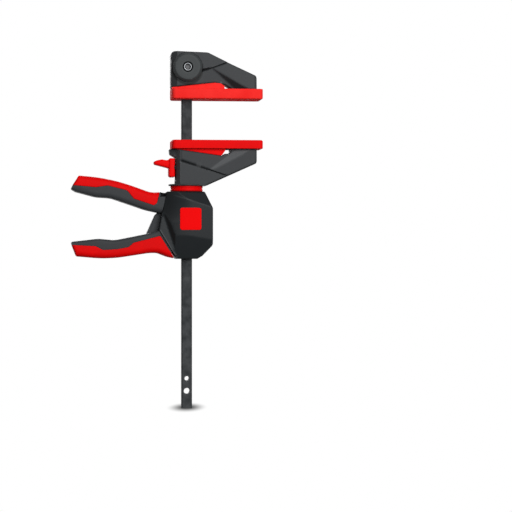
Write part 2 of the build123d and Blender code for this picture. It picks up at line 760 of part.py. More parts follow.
def main():
    """Builds and writes every node."""
    os.makedirs("parts", exist_ok=True)
    neck, moving_pad, brake_plate = make_swivel_neck(), make_moving_pad(), make_brake_plate()
    housing_front, housing_rear = split_housing(make_housing())
    nodes = {
        "bar": make_bar(),
        "fixed_jaw": make_fixed_jaw(),
        "fixed_pad": make_fixed_pad(),
        "clamp_disc_front": make_clamp_disc(),
        "clamp_disc_rear": make_rear_disc(),
        "clamp_screw": make_clamp_screw(),
        "clamp_nut": make_clamp_nut(),
        "locating_pin": make_locating_pin(),
        "moving_pad": moving_pad,
        "moving_jaw": make_moving_jaw(neck, moving_pad),
        "swivel_neck": neck,
        "swivel_collar": make_swivel_collar(),
        "thrust_washer": make_thrust_washer(),
        "fulcrum_pin": make_fulcrum_pin(),
        "brake_spring": make_brake_spring(),
        "brake_plate": brake_plate,
        "release_lever": make_release_lever(brake_plate),
        "housing_front": housing_front,
        "housing_rear": housing_rear,
        "housing_screws": make_housing_screws(),
        "badge_front": badge_plate(-housing_half, badge_thick - housing_half, 0),
        "badge_rear": badge_plate(housing_half - badge_thick, housing_half, 0),
        "upper_grip": make_upper_grip(),
        "trigger_pin": make_trigger_pin(),
        "trigger": make_trigger(),
        "trigger_grip": make_trigger_grip(),
        "drive_plates": make_drive_plates(),
        "seat_washer": make_seat_washer(),
        "drive_spring": make_drive_spring(),
    }
    for node, shape in nodes.items():
        save(shape, node)


main()
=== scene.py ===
"""Looks of a quick release bar clamp: a bar, two padded jaws, a release lever and a pump grip.

Sizes are millimetres along the clamp's own axes: X runs to the jaw tips, Y to the rear and Z up the
bar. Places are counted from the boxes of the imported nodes, so each piece follows what it stands for.
"""

import logging
import math
from collections.abc import Callable, Iterable, Sequence
from dataclasses import dataclass, field, replace
from enum import Enum
from typing import ClassVar

import bmesh
import bpy
import numpy as np
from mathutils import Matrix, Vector
from mathutils.geometry import delaunay_2d_cdt

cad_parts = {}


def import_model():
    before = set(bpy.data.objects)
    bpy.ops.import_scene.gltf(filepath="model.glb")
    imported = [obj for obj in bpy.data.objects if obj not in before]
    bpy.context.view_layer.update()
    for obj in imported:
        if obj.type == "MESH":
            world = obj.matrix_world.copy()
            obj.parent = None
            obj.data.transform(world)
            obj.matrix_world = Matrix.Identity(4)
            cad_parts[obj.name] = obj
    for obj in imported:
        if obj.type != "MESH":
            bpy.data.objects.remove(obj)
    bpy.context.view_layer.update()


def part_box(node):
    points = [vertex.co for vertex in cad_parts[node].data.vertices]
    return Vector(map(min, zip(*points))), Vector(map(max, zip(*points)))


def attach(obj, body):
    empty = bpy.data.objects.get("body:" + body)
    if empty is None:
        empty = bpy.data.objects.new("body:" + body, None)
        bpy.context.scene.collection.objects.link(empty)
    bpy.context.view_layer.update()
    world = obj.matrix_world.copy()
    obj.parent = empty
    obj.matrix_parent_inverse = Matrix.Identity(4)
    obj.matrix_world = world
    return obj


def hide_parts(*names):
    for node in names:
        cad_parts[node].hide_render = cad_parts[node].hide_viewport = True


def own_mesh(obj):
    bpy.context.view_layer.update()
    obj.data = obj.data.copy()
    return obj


LOG = logging.getLogger("bar_clamp")

Place = tuple[float, float]
Span = tuple[float, float]
Corner = tuple[float, ...]  # across, up, rounding radius and, where it has its own, the rim of the next edge
Height = Callable[[np.ndarray, np.ndarray], np.ndarray]
Colour = tuple[float, float, float, float]

MM = 0.001
BAR_AXIS: Place = (0.0, 0.0)
PAST = 20.0  # in front of every piece, or behind it
CLEAR = 5.0  # how far a tool runs past the piece that it cuts
SLIDE_GAP = 0.15  # between the bar and what slides on it
SWING_WAY = 6.62  # radius that clears the bar as the grip turns
SCREW_WAY = 3.1  # radius of the hole over a housing screw's head
SEAT_SETBACK = 37.6  # how far inside its pad's tip a jaw's seat ends


class Facing(Enum):
    """Which way the height of a relief points."""

    FRONT = "out of the clamp's front"
    UP = "up the bar"

    def place(self, across: np.ndarray, up: np.ndarray, height: np.ndarray) -> np.ndarray:
        """Turns the relief's own coordinates into points of the clamp.

        Args:
            across: Millimetres along the relief's first axis.
            up: Millimetres along its second axis.
            height: Millimetres along its third axis.

        Returns:
            Rows of x, y and z in metres.
        """
        columns = (across, -height, up) if self is Facing.FRONT else (across, up, height)
        return np.column_stack(columns) * MM

class Side(Enum):
    """The clamp's front and rear, by the way that a relief's height runs there."""

    FRONT = 1
    REAR = -1

    def node(self, stem: str) -> str:
        """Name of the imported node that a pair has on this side."""
        return f"{stem}_{self.name.lower()}"

    def span(self, near_end: float, far_end: float) -> Span:
        """Heights between two distances from the clamp's middle."""
        low, high = sorted((self.value * near_end, self.value * far_end))
        return low, high


class Mark(Enum):
    """The masks on a mesh that its finish reads."""

    GRIME = "grime"  # painted shade in creases and recesses, and on faces turned from the light
    RUB = "rub"  # painted highlights on edges, creases and lit faces


class Carving(Enum):
    """What one solid does to another."""

    CUT = "DIFFERENCE"
    JOIN = "UNION"


@dataclass(frozen=True)
class Extent:
    """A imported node's box in millimetres."""

    left: float
    right: float
    front: float
    rear: float
    bottom: float
    top: float

    @classmethod
    def of(cls, node: str) -> "Extent":
        """Reads a node's box from the frame."""
        low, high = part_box(node)
        return cls(*(value / MM for pair in zip(low, high) for value in pair))

    @property
    def middle(self) -> Place:
        """Its middle, along X and up the bar."""
        return (self.left + self.right) / 2, (self.bottom + self.top) / 2


# ---------------------------------------------------------------- outlines and heights
def round_corner(
    before: np.ndarray, here: np.ndarray, after: np.ndarray, radius: float, pace: float
) -> list[np.ndarray]:
    """Replaces a corner by points along its rounding.

    Args:
        before: The corner before it.
        here: The corner.
        after: The corner after it.
        radius: Radius of the rounding.
        pace: Longest step between points.

    Returns:
        The points from one tangent point to the other, or the corner alone.
    """
    back, ahead = before - here, after - here
    back, ahead = back / np.linalg.norm(back), ahead / np.linalg.norm(ahead)
    opening = math.acos(float(np.clip(back @ ahead, -1, 1)))
    turn = math.pi - opening
    if radius <= 0 or turn < 1e-3:
        return [here]
    middle = here + (back + ahead) / np.linalg.norm(back + ahead) * radius / math.sin(opening / 2)
    start = here + back * radius / math.tan(opening / 2) - middle
    side = math.copysign(1, back[0] * ahead[1] - back[1] * ahead[0])
    steps = max(2, math.ceil(turn / math.radians(15)), math.ceil(turn * radius / pace))
    angles = [-side * turn * step / steps for step in range(steps + 1)]
    return [
        middle + np.array((start[0] * math.cos(a) - start[1] * math.sin(a),
                           start[0] * math.sin(a) + start[1] * math.cos(a)))
        for a in angles
    ]


@dataclass(frozen=True)
class Outline:
    """A closed outline with rounded corners, and the radius that its rim is rounded by."""

    corners: Sequence[Corner]
    rim: float = 0.8
    pace: float = 0.9

    def trace(self) -> tuple[np.ndarray, np.ndarray]:
        """Walks round the outline.

        Returns:
            The points, turning left, and for each the rim of the edge that starts there.
        """
        places = [np.array(corner[:2], float) for corner in self.corners]
        rims = [corner[3] if len(corner) > 3 else self.rim for corner in self.corners]
        count = len(places)
        arcs = [
            round_corner(places[i - 1], places[i], places[(i + 1) % count], self.corners[i][2], self.pace)
            for i in range(count)
        ]
        points, point_rims = [], []
        for i, arc in enumerate(arcs):
            points += arc
            point_rims += [rims[i - 1] if k < len(arc) // 2 else rims[i] for k in range(len(arc))]
            run = arcs[(i + 1) % count][0] - arc[-1]
            steps = max(1, round(float(np.linalg.norm(run)) / self.pace))
            points += [arc[-1] + run * step / steps for step in range(1, steps)]
            point_rims += [rims[i]] * (steps - 1)
        walk, walk_rims = np.array(points), np.array(point_rims)
        x, y = walk.T
        if float(x @ np.roll(y, -1) - y @ np.roll(x, -1)) < 0:
            walk, walk_rims = walk[::-1], np.roll(walk_rims[::-1], -1)
        return walk, walk_rims


def distances(points: np.ndarray, starts: np.ndarray, ends: np.ndarray) -> np.ndarray:
    """Distance of each point from each segment.

    Args:
        points: Rows of two coordinates.
        starts: Where the segments start.
        ends: Where they end.

    Returns:
        One row for each point and one column for each segment.
    """
    run = ends - starts
    ahead = points[:, None, :] - starts[None]
    share = np.clip((ahead * run).sum(2) / np.maximum((run**2).sum(1), 1e-12), 0, 1)
    return np.linalg.norm(ahead - share[..., None] * run, axis=2)


def contains(ring: np.ndarray, points: np.ndarray) -> np.ndarray:
    """Whether each point lies inside a closed ring.

    Args:
        ring: The ring's points.
        points: Rows of two coordinates.

    Returns:
        True or False for each point.
    """
    x, y = points[:, 0, None], points[:, 1, None]
    (ax, ay), (bx, by) = ring.T, np.roll(ring, -1, axis=0).T
    rise = np.where(by == ay, 1e-12, by - ay)
    crosses = ((ay > y) != (by > y)) & (x < ax + (y - ay) * (bx - ax) / rise)
    return crosses.sum(1) % 2 == 1


def rounding(distance: np.ndarray, radius: np.ndarray | float) -> np.ndarray:
    """How far a rounded rim lies below the face, at a distance from the edge."""
    inside = np.clip(distance, 0, radius)
    return radius - np.sqrt(np.maximum(radius**2 - (radius - inside) ** 2, 0))


def lower(one: np.ndarray, other: np.ndarray | float, blend: float) -> np.ndarray:
    """The lower of two heights, with a soft crease as wide as the blend."""
    share = np.clip(0.5 + (other - one) / (2 * blend), 0, 1)
    return other * (1 - share) + one * share - blend * share * (1 - share)


def higher(one: np.ndarray, other: np.ndarray | float, blend: float) -> np.ndarray:
    """The higher of two heights, with a soft crease as wide as the blend."""
    return -lower(-one, -other, blend)


def flat(height: float) -> Height:
    """A height that is the same everywhere."""
    return lambda x, z: np.full_like(x, height)

def ramp(value: np.ndarray, start: float, end: float) -> np.ndarray:
    """Rises from 0 at the start to 1 at the end, and stays level beyond them."""
    return np.clip((value - start) / (end - start), 0, 1)


def near(distance: np.ndarray, reach: np.ndarray | float, peak: float = 1.1) -> np.ndarray:
    """1 on a line, and 0 out of its reach. A higher peak widens what is 1."""
    return np.clip(peak - np.abs(distance) / reach, 0, 1)


def rectangle(x: Span, z: Span, radius: float) -> list[Corner]:
    """Corners of a rectangle, turning left."""
    return [(x[0], z[0], radius), (x[1], z[0], radius), (x[1], z[1], radius), (x[0], z[1], radius)]


def on_circle(middle: Place, radius: float, degrees: Iterable[float]) -> list[Corner]:
    """Sharp corners on a circle, at some angles."""
    turns = [math.radians(a) for a in degrees]
    return [(middle[0] + radius * math.cos(a), middle[1] + radius * math.sin(a), 0) for a in turns]


@dataclass(frozen=True)
class Line:
    """A straight crease between two places."""

    start: tuple[float, float]
    end: tuple[float, float]

    def beyond(self, x: np.ndarray, z: np.ndarray) -> np.ndarray:
        """Distance of places to the right of the line, as seen along it.

        Args:
            x: Places along X.
            z: Heights up the bar.

        Returns:
            Millimetres for each place, and less than 0 to the left of the line.
        """
        run = np.subtract(self.end, self.start)
        run = run / np.linalg.norm(run)
        return (x - self.start[0]) * run[1] - (z - self.start[1]) * run[0]

    def shifted(self, by: float) -> "Line":
        """The same line, moved to its right.

        Args:
            by: How far, in millimetres.

        Returns:
            The moved line.
        """
        run = np.subtract(self.end, self.start)
        aside = np.array((run[1], -run[0])) / np.linalg.norm(run) * by
        return Line(tuple(np.add(self.start, aside)), tuple(np.add(self.end, aside)))

    def lifted(self, by: float, way: int = 1) -> "Line":
        """The same line, turned over where the way is -1, and then lifted."""
        (x0, z0), (x1, z1) = self.start, self.end
        return Line((x0, by + way * z0), (x1, by + way * z1))

    def points(self, pace: float) -> np.ndarray:
        """Places along the line, a pace apart."""
        steps = max(1, round(math.dist(self.start, self.end) / pace))
        return np.linspace(self.start, self.end, steps + 1)

def chain(places: Sequence[Place]) -> list[Line]:
    """Lines from each place to the next."""
    return [Line(start, end) for start, end in zip(places, places[1:])]


# ---------------------------------------------------------------- solids
def new_object(name: str, points: np.ndarray, faces: Sequence[Sequence[int]]) -> bpy.types.Object:
    """Makes a closed mesh object with its faces outwards.

    Args:
        name: The object's name.
        points: Rows of x, y and z in metres.
        faces: The points of each face.

    Returns:
        The new object, in the scene.
    """
    mesh = bpy.data.meshes.new(name)
    mesh.from_pydata([tuple(map(float, point)) for point in points], [], [tuple(face) for face in faces])
    solid = bmesh.new()
    solid.from_mesh(mesh)
    bmesh.ops.remove_doubles(solid, verts=solid.verts, dist=1e-7)
    bmesh.ops.dissolve_degenerate(solid, edges=solid.edges, dist=1e-8)
    bmesh.ops.recalc_face_normals(solid, faces=solid.faces)
    solid.to_mesh(mesh)
    solid.free()
    made = bpy.data.objects.new(name, mesh)
    bpy.context.scene.collection.objects.link(made)
    return made


@dataclass
class Relief:
    """A solid with an outline, and a modelled height on both of its faces."""

    KEPT_INSET: ClassVar[float] = 0.96  # a rim row's point stays if it keeps this share of its inset
    THIN_INSET: ClassVar[float] = 0.02  # rim rows closer to the outline than this are left out
    CREASE_INSET: ClassVar[float] = 0.25  # creases keep this far from the outline
    CREASE_PACE: ClassVar[float] = 0.8  # this one and the next two are shares of the grid
    RIM_ROOM: ClassVar[float] = 0.35  # between the rim and the grid's points
    CREASE_ROOM: ClassVar[float] = 0.55  # between a crease and the grid's points

    outline: Outline
    height: Height
    base: Height | None = None  # the lower face, where it isn't the upper one mirrored
    base_rim: float = 0.3
    creases: Sequence[Line] = ()
    facing: Facing = Facing.FRONT
    grid: float = 0.9
    rim_steps: int = 5

    def build(self, name: str) -> bpy.types.Object:
        """Makes the solid.

        Args:
            name: The object's name.

        Returns:
            The new object.
        """
        walk, rims = self.outline.trace()
        places, drop, faces = self._face(walk, rims)
        upper = self.facing.place(*places.T, self.height(*places.T) - drop)
        if self.base is None:
            under = self.facing.place(*places.T, drop - self.height(*places.T))
            under_faces = faces
        else:
            places, drop, under_faces = self._face(walk, np.full(len(walk), self.base_rim))
            under = self.facing.place(*places.T, self.base(*places.T) + drop)
        first = len(upper)
        around = range(len(walk))
        wall = [(i, (i + 1) % len(walk), first + (i + 1) % len(walk), first + i) for i in around]
        under_faces = [[first + i for i in reversed(face)] for face in under_faces]
        return new_object(name, np.vstack((upper, under)), [*faces, *under_faces, *wall])

    def _face(self, walk: np.ndarray, rims: np.ndarray) -> tuple[np.ndarray, np.ndarray, list[list[int]]]:
        """Lays triangles over the outline, with rows along the rim and the creases.

        Args:
            walk: The outline's points.
            rims: The rim of the edge that starts at each.

        Returns:
            The places, how far the rim drops at each, and the triangles. The walk's points come first.
        """
        ends = np.roll(walk, -1, axis=0)
        ahead = (ends - walk) / np.linalg.norm(ends - walk, axis=1)[:, None]
        aim = ahead + np.roll(ahead, 1, axis=0)
        aim /= np.maximum(np.linalg.norm(aim, axis=1), 1e-9)[:, None]
        inward = np.column_stack((-aim[:, 1], aim[:, 0]))
        places, lines = [walk], [(i, (i + 1) % len(walk)) for i in range(len(walk))]

        def add_row(row: np.ndarray, clear: np.ndarray, closed: bool) -> None:
            """Adds the points of a row that are clear and inside, and joins each to the next.

            Args:
                row: The points.
                clear: Which of them are clear of the outline.
                closed: Whether the last one is joined to the first.
            """
            clear = clear & contains(walk, row)
            index = np.where(clear, sum(map(len, places)) + np.cumsum(clear) - 1, -1)
            pairs = zip(index, np.roll(index, -1)) if closed else zip(index, index[1:])
            lines.extend((a, b) for a, b in pairs if a >= 0 and b >= 0)
            places.append(row[clear])

        for step in range(1, self.rim_steps + 1):
            inset = rims * (1 - math.cos(math.pi / 2 * step / self.rim_steps))
            row = walk + inward * inset[:, None]
            clear = distances(row, walk, ends).min(1) > self.KEPT_INSET * inset
            add_row(row, clear & (inset > self.THIN_INSET), closed=True)
        for crease in self.creases:
            row = crease.points(self.CREASE_PACE * self.grid)
            add_row(row, distances(row, walk, ends).min(1) > self.CREASE_INSET, closed=False)
        low, high = walk.min(0), walk.max(0)
        rows = np.arange(low[1], high[1], self.grid * math.sqrt(0.75))
        inner = np.array([
            (x + (k % 2) * self.grid / 2, z)
            for k, z in enumerate(rows) for x in np.arange(low[0], high[0], self.grid)
        ])
        clear = (distances(inner, walk, ends) - rims).min(1) > self.RIM_ROOM * self.grid
        clear &= contains(walk, inner)
        if self.creases:
            starts, stops = (np.array(ends_of) for ends_of in zip(*((c.start, c.end) for c in self.creases)))
            clear &= distances(inner, starts, stops).min(1) > self.CREASE_ROOM * self.grid
        places.append(inner[clear])
        edges = [(int(a), int(b)) for a, b in lines]
        around = list(range(len(walk)))
        net = delaunay_2d_cdt([Vector(place) for place in np.vstack(places)], edges, [around], 1, 1e-6)
        made = np.array([tuple(place) for place in net[0]])
        made_at = {source: i for i, sources in enumerate(net[3]) for source in sources}
        order = [made_at[i] for i in around]
        order += [i for i in range(len(made)) if i not in set(order)]
        rank = {old: new for new, old in enumerate(order)}
        made = made[order]
        drop = rounding(distances(made, walk, ends), rims).max(1)
        return made, drop, [[rank[i] for i in face] for face in net[2]]


def slab(name: str, corners: Sequence[Corner], span: Span, rims: Span = (0.0, 0.0), grid: float = 9.0,
         facing: Facing = Facing.FRONT) -> bpy.types.Object:
    """Makes a solid with flat faces.

    Args:
        name: The object's name.
        corners: Corners of its outline.
        span: Heights of its lower and its upper face.
        rims: Radii of the lower and the upper rim.
        grid: Longest side of the faces' triangles.
        facing: Which way its height points.

    Returns:
        The new object.
    """
    (low, high), (low_rim, high_rim) = span, rims
    outline = Outline(corners, rim=high_rim)
    return Relief(outline, flat(high), flat(low), low_rim, facing=facing, grid=grid).build(name)


def tube_faces(rows: int, count: int, closed: bool) -> list[tuple[int, ...]]:
    """Faces between neighbouring rings of points.

    Args:
        rows: Number of rings.
        count: Points in each.
        closed: Whether the last ring meets the first.

    Returns:
        Four points for each face.
    """
    return [
        (r * count + i, r * count + (i + 1) % count,
         (r + 1) % rows * count + (i + 1) % count, (r + 1) % rows * count + i)
        for r in range(rows if closed else rows - 1) for i in range(count)
    ]


def lathe(name: str, corners: Sequence[Corner], facing: Facing, at: Place = BAR_AXIS, steps: int = 96,
          pace: float = 2.0) -> bpy.types.Object:
    """Turns a closed profile about an axis.

    Args:
        name: The object's name.
        corners: The profile's corners, as radius, height and rounding.
        facing: Which way the axis points.
        at: The axis's place in the relief's plane.
        steps: Faces round the axis.
        pace: Longest step along the profile.

    Returns:
        The new object.
    """
    walk, _ = Outline(corners, pace=pace).trace()
    angles = np.linspace(0, 2 * math.pi, steps, endpoint=False)
    across = at[0] + np.outer(np.cos(angles), walk[:, 0])
    up = at[1] + np.outer(np.sin(angles), walk[:, 0])
    height = np.tile(walk[:, 1], (steps, 1))
    points = facing.place(across.ravel(), up.ravel(), height.ravel())
    return new_object(name, points, tube_faces(steps, len(walk), closed=True))


def drum(radius: float, span: Span, facing: Facing, at: Place = BAR_AXIS) -> bpy.types.Object:
    """A round bar along a relief's height, over a span of it."""
    return lathe("drum", rectangle((0.0, radius), span, 0.0), facing, at, pace=math.inf)


def block(name: str, x: Span, y: Span, z: Span) -> bpy.types.Object:
    """A square-edged solid between three spans.

    Args:
        name: The object's name.
        x: Its span along X.
        y: Its span along Y.
        z: Its span up the bar.

    Returns:
        The new object.
    """
    points = np.array([(a, b, c) for a in x for b in y for c in z]) * MM
    faces = [(0, 1, 3, 2), (4, 6, 7, 5), (0, 4, 5, 1), (2, 3, 7, 6), (0, 2, 6, 4), (1, 5, 7, 3)]
    return new_object(name, points, faces)


def hexagon(flats: float, span: Span, at: Place) -> bpy.types.Object:
    """A six-sided bar from front to rear, for sockets and nuts."""
    return slab("hexagon", on_circle(at, flats / math.sqrt(3), range(30, 390, 60)), span)


def carve(target: bpy.types.Object, tool: bpy.types.Object, how: Carving = Carving.CUT) -> None:
    """Cuts a solid with another one, or joins the two. The other one is used up.

    Args:
        target: The solid that stays.
        tool: The other solid.
        how: What the tool does.
    """
    modifier = target.modifiers.new("carving", "BOOLEAN")
    modifier.operation, modifier.object, modifier.solver = how.value, tool, "EXACT"
    graph = bpy.context.evaluated_depsgraph_get()
    mesh = bpy.data.meshes.new_from_object(target.evaluated_get(graph))
    target.modifiers.clear()
    old, target.data = target.data, mesh
    bpy.data.meshes.remove(old)
    mesh.name = target.name
    bpy.data.objects.remove(tool)


def bore(target: bpy.types.Object, radius: float, span: Span, at: Place | None = None) -> None:
    """Bores a round hole from front to rear, or up the bar's axis where it has no place of its own."""
    tool = drum(radius, span, Facing.UP) if at is None else drum(radius, span, Facing.FRONT, at)
    carve(target, tool)


def cut_bar_way(target: bpy.types.Object, gap: float, span: Span) -> None:
    """Cuts a square way for the bar, with a gap round it."""
    bar = Extent.of("bar")
    carve(target, block("way", (bar.left - gap, bar.right + gap), (bar.front - gap, bar.rear + gap), span))


# ---------------------------------------------------------------- shader node groups
Fill = Callable[["Wiring", bpy.types.bpy_prop_collection], dict[str, bpy.types.NodeSocket]]


class Kind(Enum):
    """Kinds of socket on a node group."""

    VALUE = "NodeSocketFloat"
    COLOUR = "NodeSocketColor"


def srgb(red: int, green: int, blue: int) -> Colour:
    """A screen colour as linear light."""
    linear = [((c / 255 + 0.055) / 1.055) ** 2.4 if c > 10 else c / 255 / 12.92 for c in (red, green, blue)]
    return (*linear, 1.0)


@dataclass
class Wiring:
    """Adds nodes to one tree and joins them."""

    tree: bpy.types.NodeTree

    @classmethod
    def of(cls, owner: bpy.types.Material | bpy.types.World) -> "Wiring":
        """Empties the tree of a material or a world.

        Args:
            owner: The material or the world.

        Returns:
            The wiring of its tree.
        """
        owner.use_nodes = True
        owner.node_tree.nodes.clear()
        return cls(owner.node_tree)

    def add(self, kind: str, inputs: dict | None = None, **settings: object) -> bpy.types.Node:
        """Adds a node.

        Args:
            kind: The node's type.
            inputs: Value or joined socket for each input, by its name or number.
            **settings: The node's own settings.

        Returns:
            The new node.
        """
        node = self.tree.nodes.new(kind)
        for key, value in settings.items():
            setattr(node, key, value)
        for key, value in (inputs or {}).items():
            if isinstance(value, bpy.types.NodeSocket):
                self.tree.links.new(value, node.inputs[key])
            else:
                node.inputs[key].default_value = value
        return node

    def maths(self, operation: str, one: object, other: object = 0.0) -> bpy.types.NodeSocket:
        """The result of a sum on two values."""
        return self.add("ShaderNodeMath", {0: one, 1: other}, operation=operation).outputs[0]

    def mixed(self, share: object, one: object, other: object) -> bpy.types.NodeSocket:
        """A colour between two colours."""
        node = self.add("ShaderNodeMix", {0: share, 6: one, 7: other}, data_type="RGBA")
        return node.outputs[2]

    def spread(self, value: object, low: float, high: float, to_low: float = 0.0,
               to_high: float = 1.0) -> bpy.types.NodeSocket:
        """A value moved from one range to another, and kept inside it."""
        node = self.add("ShaderNodeMapRange", {0: value, 1: low, 2: high, 3: to_low, 4: to_high})
        return node.outputs[0]

    def place(self) -> bpy.types.NodeSocket:
        """The place on the piece."""
        return self.add("ShaderNodeTexCoord").outputs["Object"]

    def noise(self, place: object, scale: object, detail: float,
              roughness: float = 0.5) -> bpy.types.NodeSocket:
        """Noise from 0 to 1 over places."""
        inputs = {"Vector": place, "Scale": scale, "Detail": detail, "Roughness": roughness}
        return self.add("ShaderNodeTexNoise", inputs).outputs[0]

    def marked(self, mark_kind: Mark) -> bpy.types.NodeSocket:
        """How strong a mark on the mesh is."""
        return self.add("ShaderNodeAttribute", attribute_name=mark_kind.value).outputs["Fac"]


def group(name: str, inputs: dict[str, float | Colour], outputs: dict[str, Kind],
          fill: Fill) -> bpy.types.NodeTree:
    """A shader node group, made the first time that it is asked for.

    Args:
        name: The group's name.
        inputs: First value of each input.
        outputs: Socket kind of each output.
        fill: Adds the nodes from the group's inputs, and returns the socket of each output.

    Returns:
        The group.
    """
    if name in bpy.data.node_groups:
        return bpy.data.node_groups[name]
    tree = bpy.data.node_groups.new(name, "ShaderNodeTree")
    for label, value in inputs.items():
        kind = Kind.VALUE if isinstance(value, float) else Kind.COLOUR
        tree.interface.new_socket(label, in_out="INPUT", socket_type=kind.value).default_value = value
    for label, kind in outputs.items():
        tree.interface.new_socket(label, in_out="OUTPUT", socket_type=kind.value)
    wiring = Wiring(tree)
    wiring.add("NodeGroupOutput", fill(wiring, wiring.add("NodeGroupInput").outputs))
    return tree


def mould_grain() -> bpy.types.NodeTree:
    """The fine pitted grain of a moulded surface, and its faint clouding.

    Returns:
        The group.
    """

    def fill(w: Wiring, given: bpy.types.bpy_prop_collection) -> dict[str, bpy.types.NodeSocket]:
        """Adds the grain's nodes.

        Args:
            w: Adds nodes to the group's tree.
            given: The group's inputs.

        Returns:
            The socket of each output.
        """
        place = w.place()
        pits = w.noise(place, w.maths("DIVIDE", 1 / MM, given["Grain"]), detail=3.0, roughness=0.6)
        cloud = w.noise(place, w.maths("DIVIDE", 1 / MM, given["Clouds"]), detail=2.0)
        return {"Height": pits, "Cloud": w.spread(cloud, 0.3, 0.7)}

    kinds = {"Height": Kind.VALUE, "Cloud": Kind.VALUE}
    return group("mould grain", {"Grain": 0.3, "Clouds": 14.0}, kinds, fill)


def drawn_grain() -> bpy.types.NodeTree:
    """Long fine lines up the bar, as rolling and drawing leave them, and specks of scale.

    Returns:
        The group.
    """
    stretch = (1.0, 1.0, 0.012)

    def fill(w: Wiring, given: bpy.types.bpy_prop_collection) -> dict[str, bpy.types.NodeSocket]:
        """Adds the grain's nodes.

        Args:
            w: Adds nodes to the group's tree.
            given: The group's inputs.

        Returns:
            The socket of each output.
        """
        place = w.place()
        drawn = w.add("ShaderNodeMapping", {"Vector": place, "Scale": stretch}).outputs[0]
        lines = w.noise(drawn, w.maths("DIVIDE", 1 / MM, given["Line"]), detail=4.0, roughness=0.65)
        specks = w.noise(place, 900.0, detail=5.0)
        return {
            "Height": lines, "Streak": w.spread(lines, 0.32, 0.68), "Speck": w.spread(specks, 0.45, 0.7),
        }

    kinds = {label: Kind.VALUE for label in ("Height", "Streak", "Speck")}
    return group("drawn grain", {"Line": 0.5}, kinds, fill)


def wear_and_painted_light() -> bpy.types.NodeTree:
    """Lightens worn edges and painted highlights, and darkens where painted shade is marked.

    Returns:
        The group.
    """
    painted_shade_colour = (0.002, 0.002, 0.002, 1.0)
    grey = (0.1, 0.1, 0.1, 1.0)

    def fill(w: Wiring, given: bpy.types.bpy_prop_collection) -> dict[str, bpy.types.NodeSocket]:
        """Adds the nodes of the wear and of the painted light.

        Args:
            w: Adds nodes to the group's tree.
            given: The group's inputs.

        Returns:
            The socket of each output.
        """
        bend = w.spread(w.add("ShaderNodeNewGeometry").outputs["Pointiness"], 0.52, 0.6)
        patchy = w.spread(w.noise(w.place(), 160.0, detail=4.0), 0.35, 0.65, 0.35, 1.0)
        # Pointiness finds worn edges; the marked painted highlights join them, and the marked painted shade
        # darkens the colour.
        edge = w.maths("MAXIMUM", w.maths("MULTIPLY", bend, patchy), w.marked(Mark.RUB))
        worn = w.mixed(w.maths("MULTIPLY", edge, given["Wear"]), given["Color"], given["Worn"])
        dirt = w.maths("MULTIPLY", w.marked(Mark.GRIME), given["Dirt"])
        return {"Color": w.mixed(dirt, worn, painted_shade_colour)}

    inputs = {"Color": grey, "Worn": grey, "Wear": 0.3, "Dirt": 0.8}
    # The group paints highlights and shade as well as edge wear.
    return group("edge wear", inputs, {"Color": Kind.COLOUR}, fill)


# ---------------------------------------------------------------- finishes
@dataclass(frozen=True)
class Coat:
    """A finish with a grain, a colour that drifts along it, worn edges, painted highlights and painted
    shade.
    """

    name: str
    colour: Colour
    drift: Colour  # what the colour turns to along the grain
    # the colour of worn edges and of painted highlights
    worn: Colour
    roughness: float = 0.55
    grain: float = 0.35  # size of its pits or lines
    depth: float = 0.02  # of its pits or lines
    # strengths of the edge wear with the painted highlights, and of the painted shade
    wear: float = 0.5
    dirt: float = 0.85
    specular: float = 0.16
    metallic: float = 0.0

    SIZE: ClassVar[str] = "Grain"  # the grain group's input for its size
    TINT: ClassVar[str] = "Cloud"  # its output that the colour drifts by
    POLISH: ClassVar[str] = "Cloud"  # its output that the roughness drifts by
    SWAY: ClassVar[Span] = (-0.03, 0.04)  # how far the roughness drifts
    RELIEF: ClassVar[float] = 0.6  # strength of the grain's bumps

    def pattern(self) -> bpy.types.NodeTree:
        """The group that makes the grain."""
        return mould_grain()

    def material(self) -> bpy.types.Material:
        """Makes the material, or finds it.

        Returns:
            The material.
        """
        if self.name in bpy.data.materials:
            return bpy.data.materials[self.name]
        material = bpy.data.materials.new(self.name)
        w = Wiring.of(material)
        grain = w.add("ShaderNodeGroup", {self.SIZE: self.grain}, node_tree=self.pattern()).outputs
        worn = w.add("ShaderNodeGroup", {
            "Color": w.mixed(grain[self.TINT], self.colour, self.drift), "Worn": self.worn,
            "Wear": self.wear, "Dirt": self.dirt,
        }, node_tree=wear_and_painted_light())
        bump = w.add("ShaderNodeBump", {
            "Strength": self.RELIEF, "Distance": self.depth * MM, "Height": grain["Height"],
        })
        smoothest, roughest = (self.roughness + sway for sway in self.SWAY)
        shader = w.add("ShaderNodeBsdfPrincipled", {
            "Base Color": worn.outputs["Color"],
            "Roughness": w.spread(grain[self.POLISH], 0.0, 1.0, smoothest, roughest),
            "Metallic": self.metallic,
            "Specular IOR Level": self.specular,
            "Normal": bump.outputs[0],
        })
        w.add("ShaderNodeOutputMaterial", {"Surface": shader.outputs[0]})
        return material


@dataclass(frozen=True)
class Moulding(Coat):
    """A moulded plastic or rubber finish."""


@dataclass(frozen=True)
class Steel(Coat):
    """A bare, blackened or hardened steel finish."""

    roughness: float = 0.35
    grain: float = 0.5
    depth: float = 0.01
    # strengths of the edge wear with the painted highlights, and of the painted shade
    wear: float = 0.4
    dirt: float = 0.6
    specular: float = 0.25
    metallic: float = 1.0

    SIZE: ClassVar[str] = "Line"
    TINT: ClassVar[str] = "Streak"
    POLISH: ClassVar[str] = "Speck"
    SWAY: ClassVar[Span] = (0.0, 0.12)
    RELIEF: ClassVar[float] = 0.5

    def pattern(self) -> bpy.types.NodeTree:
        """The group that makes the drawn lines."""
        return drawn_grain()


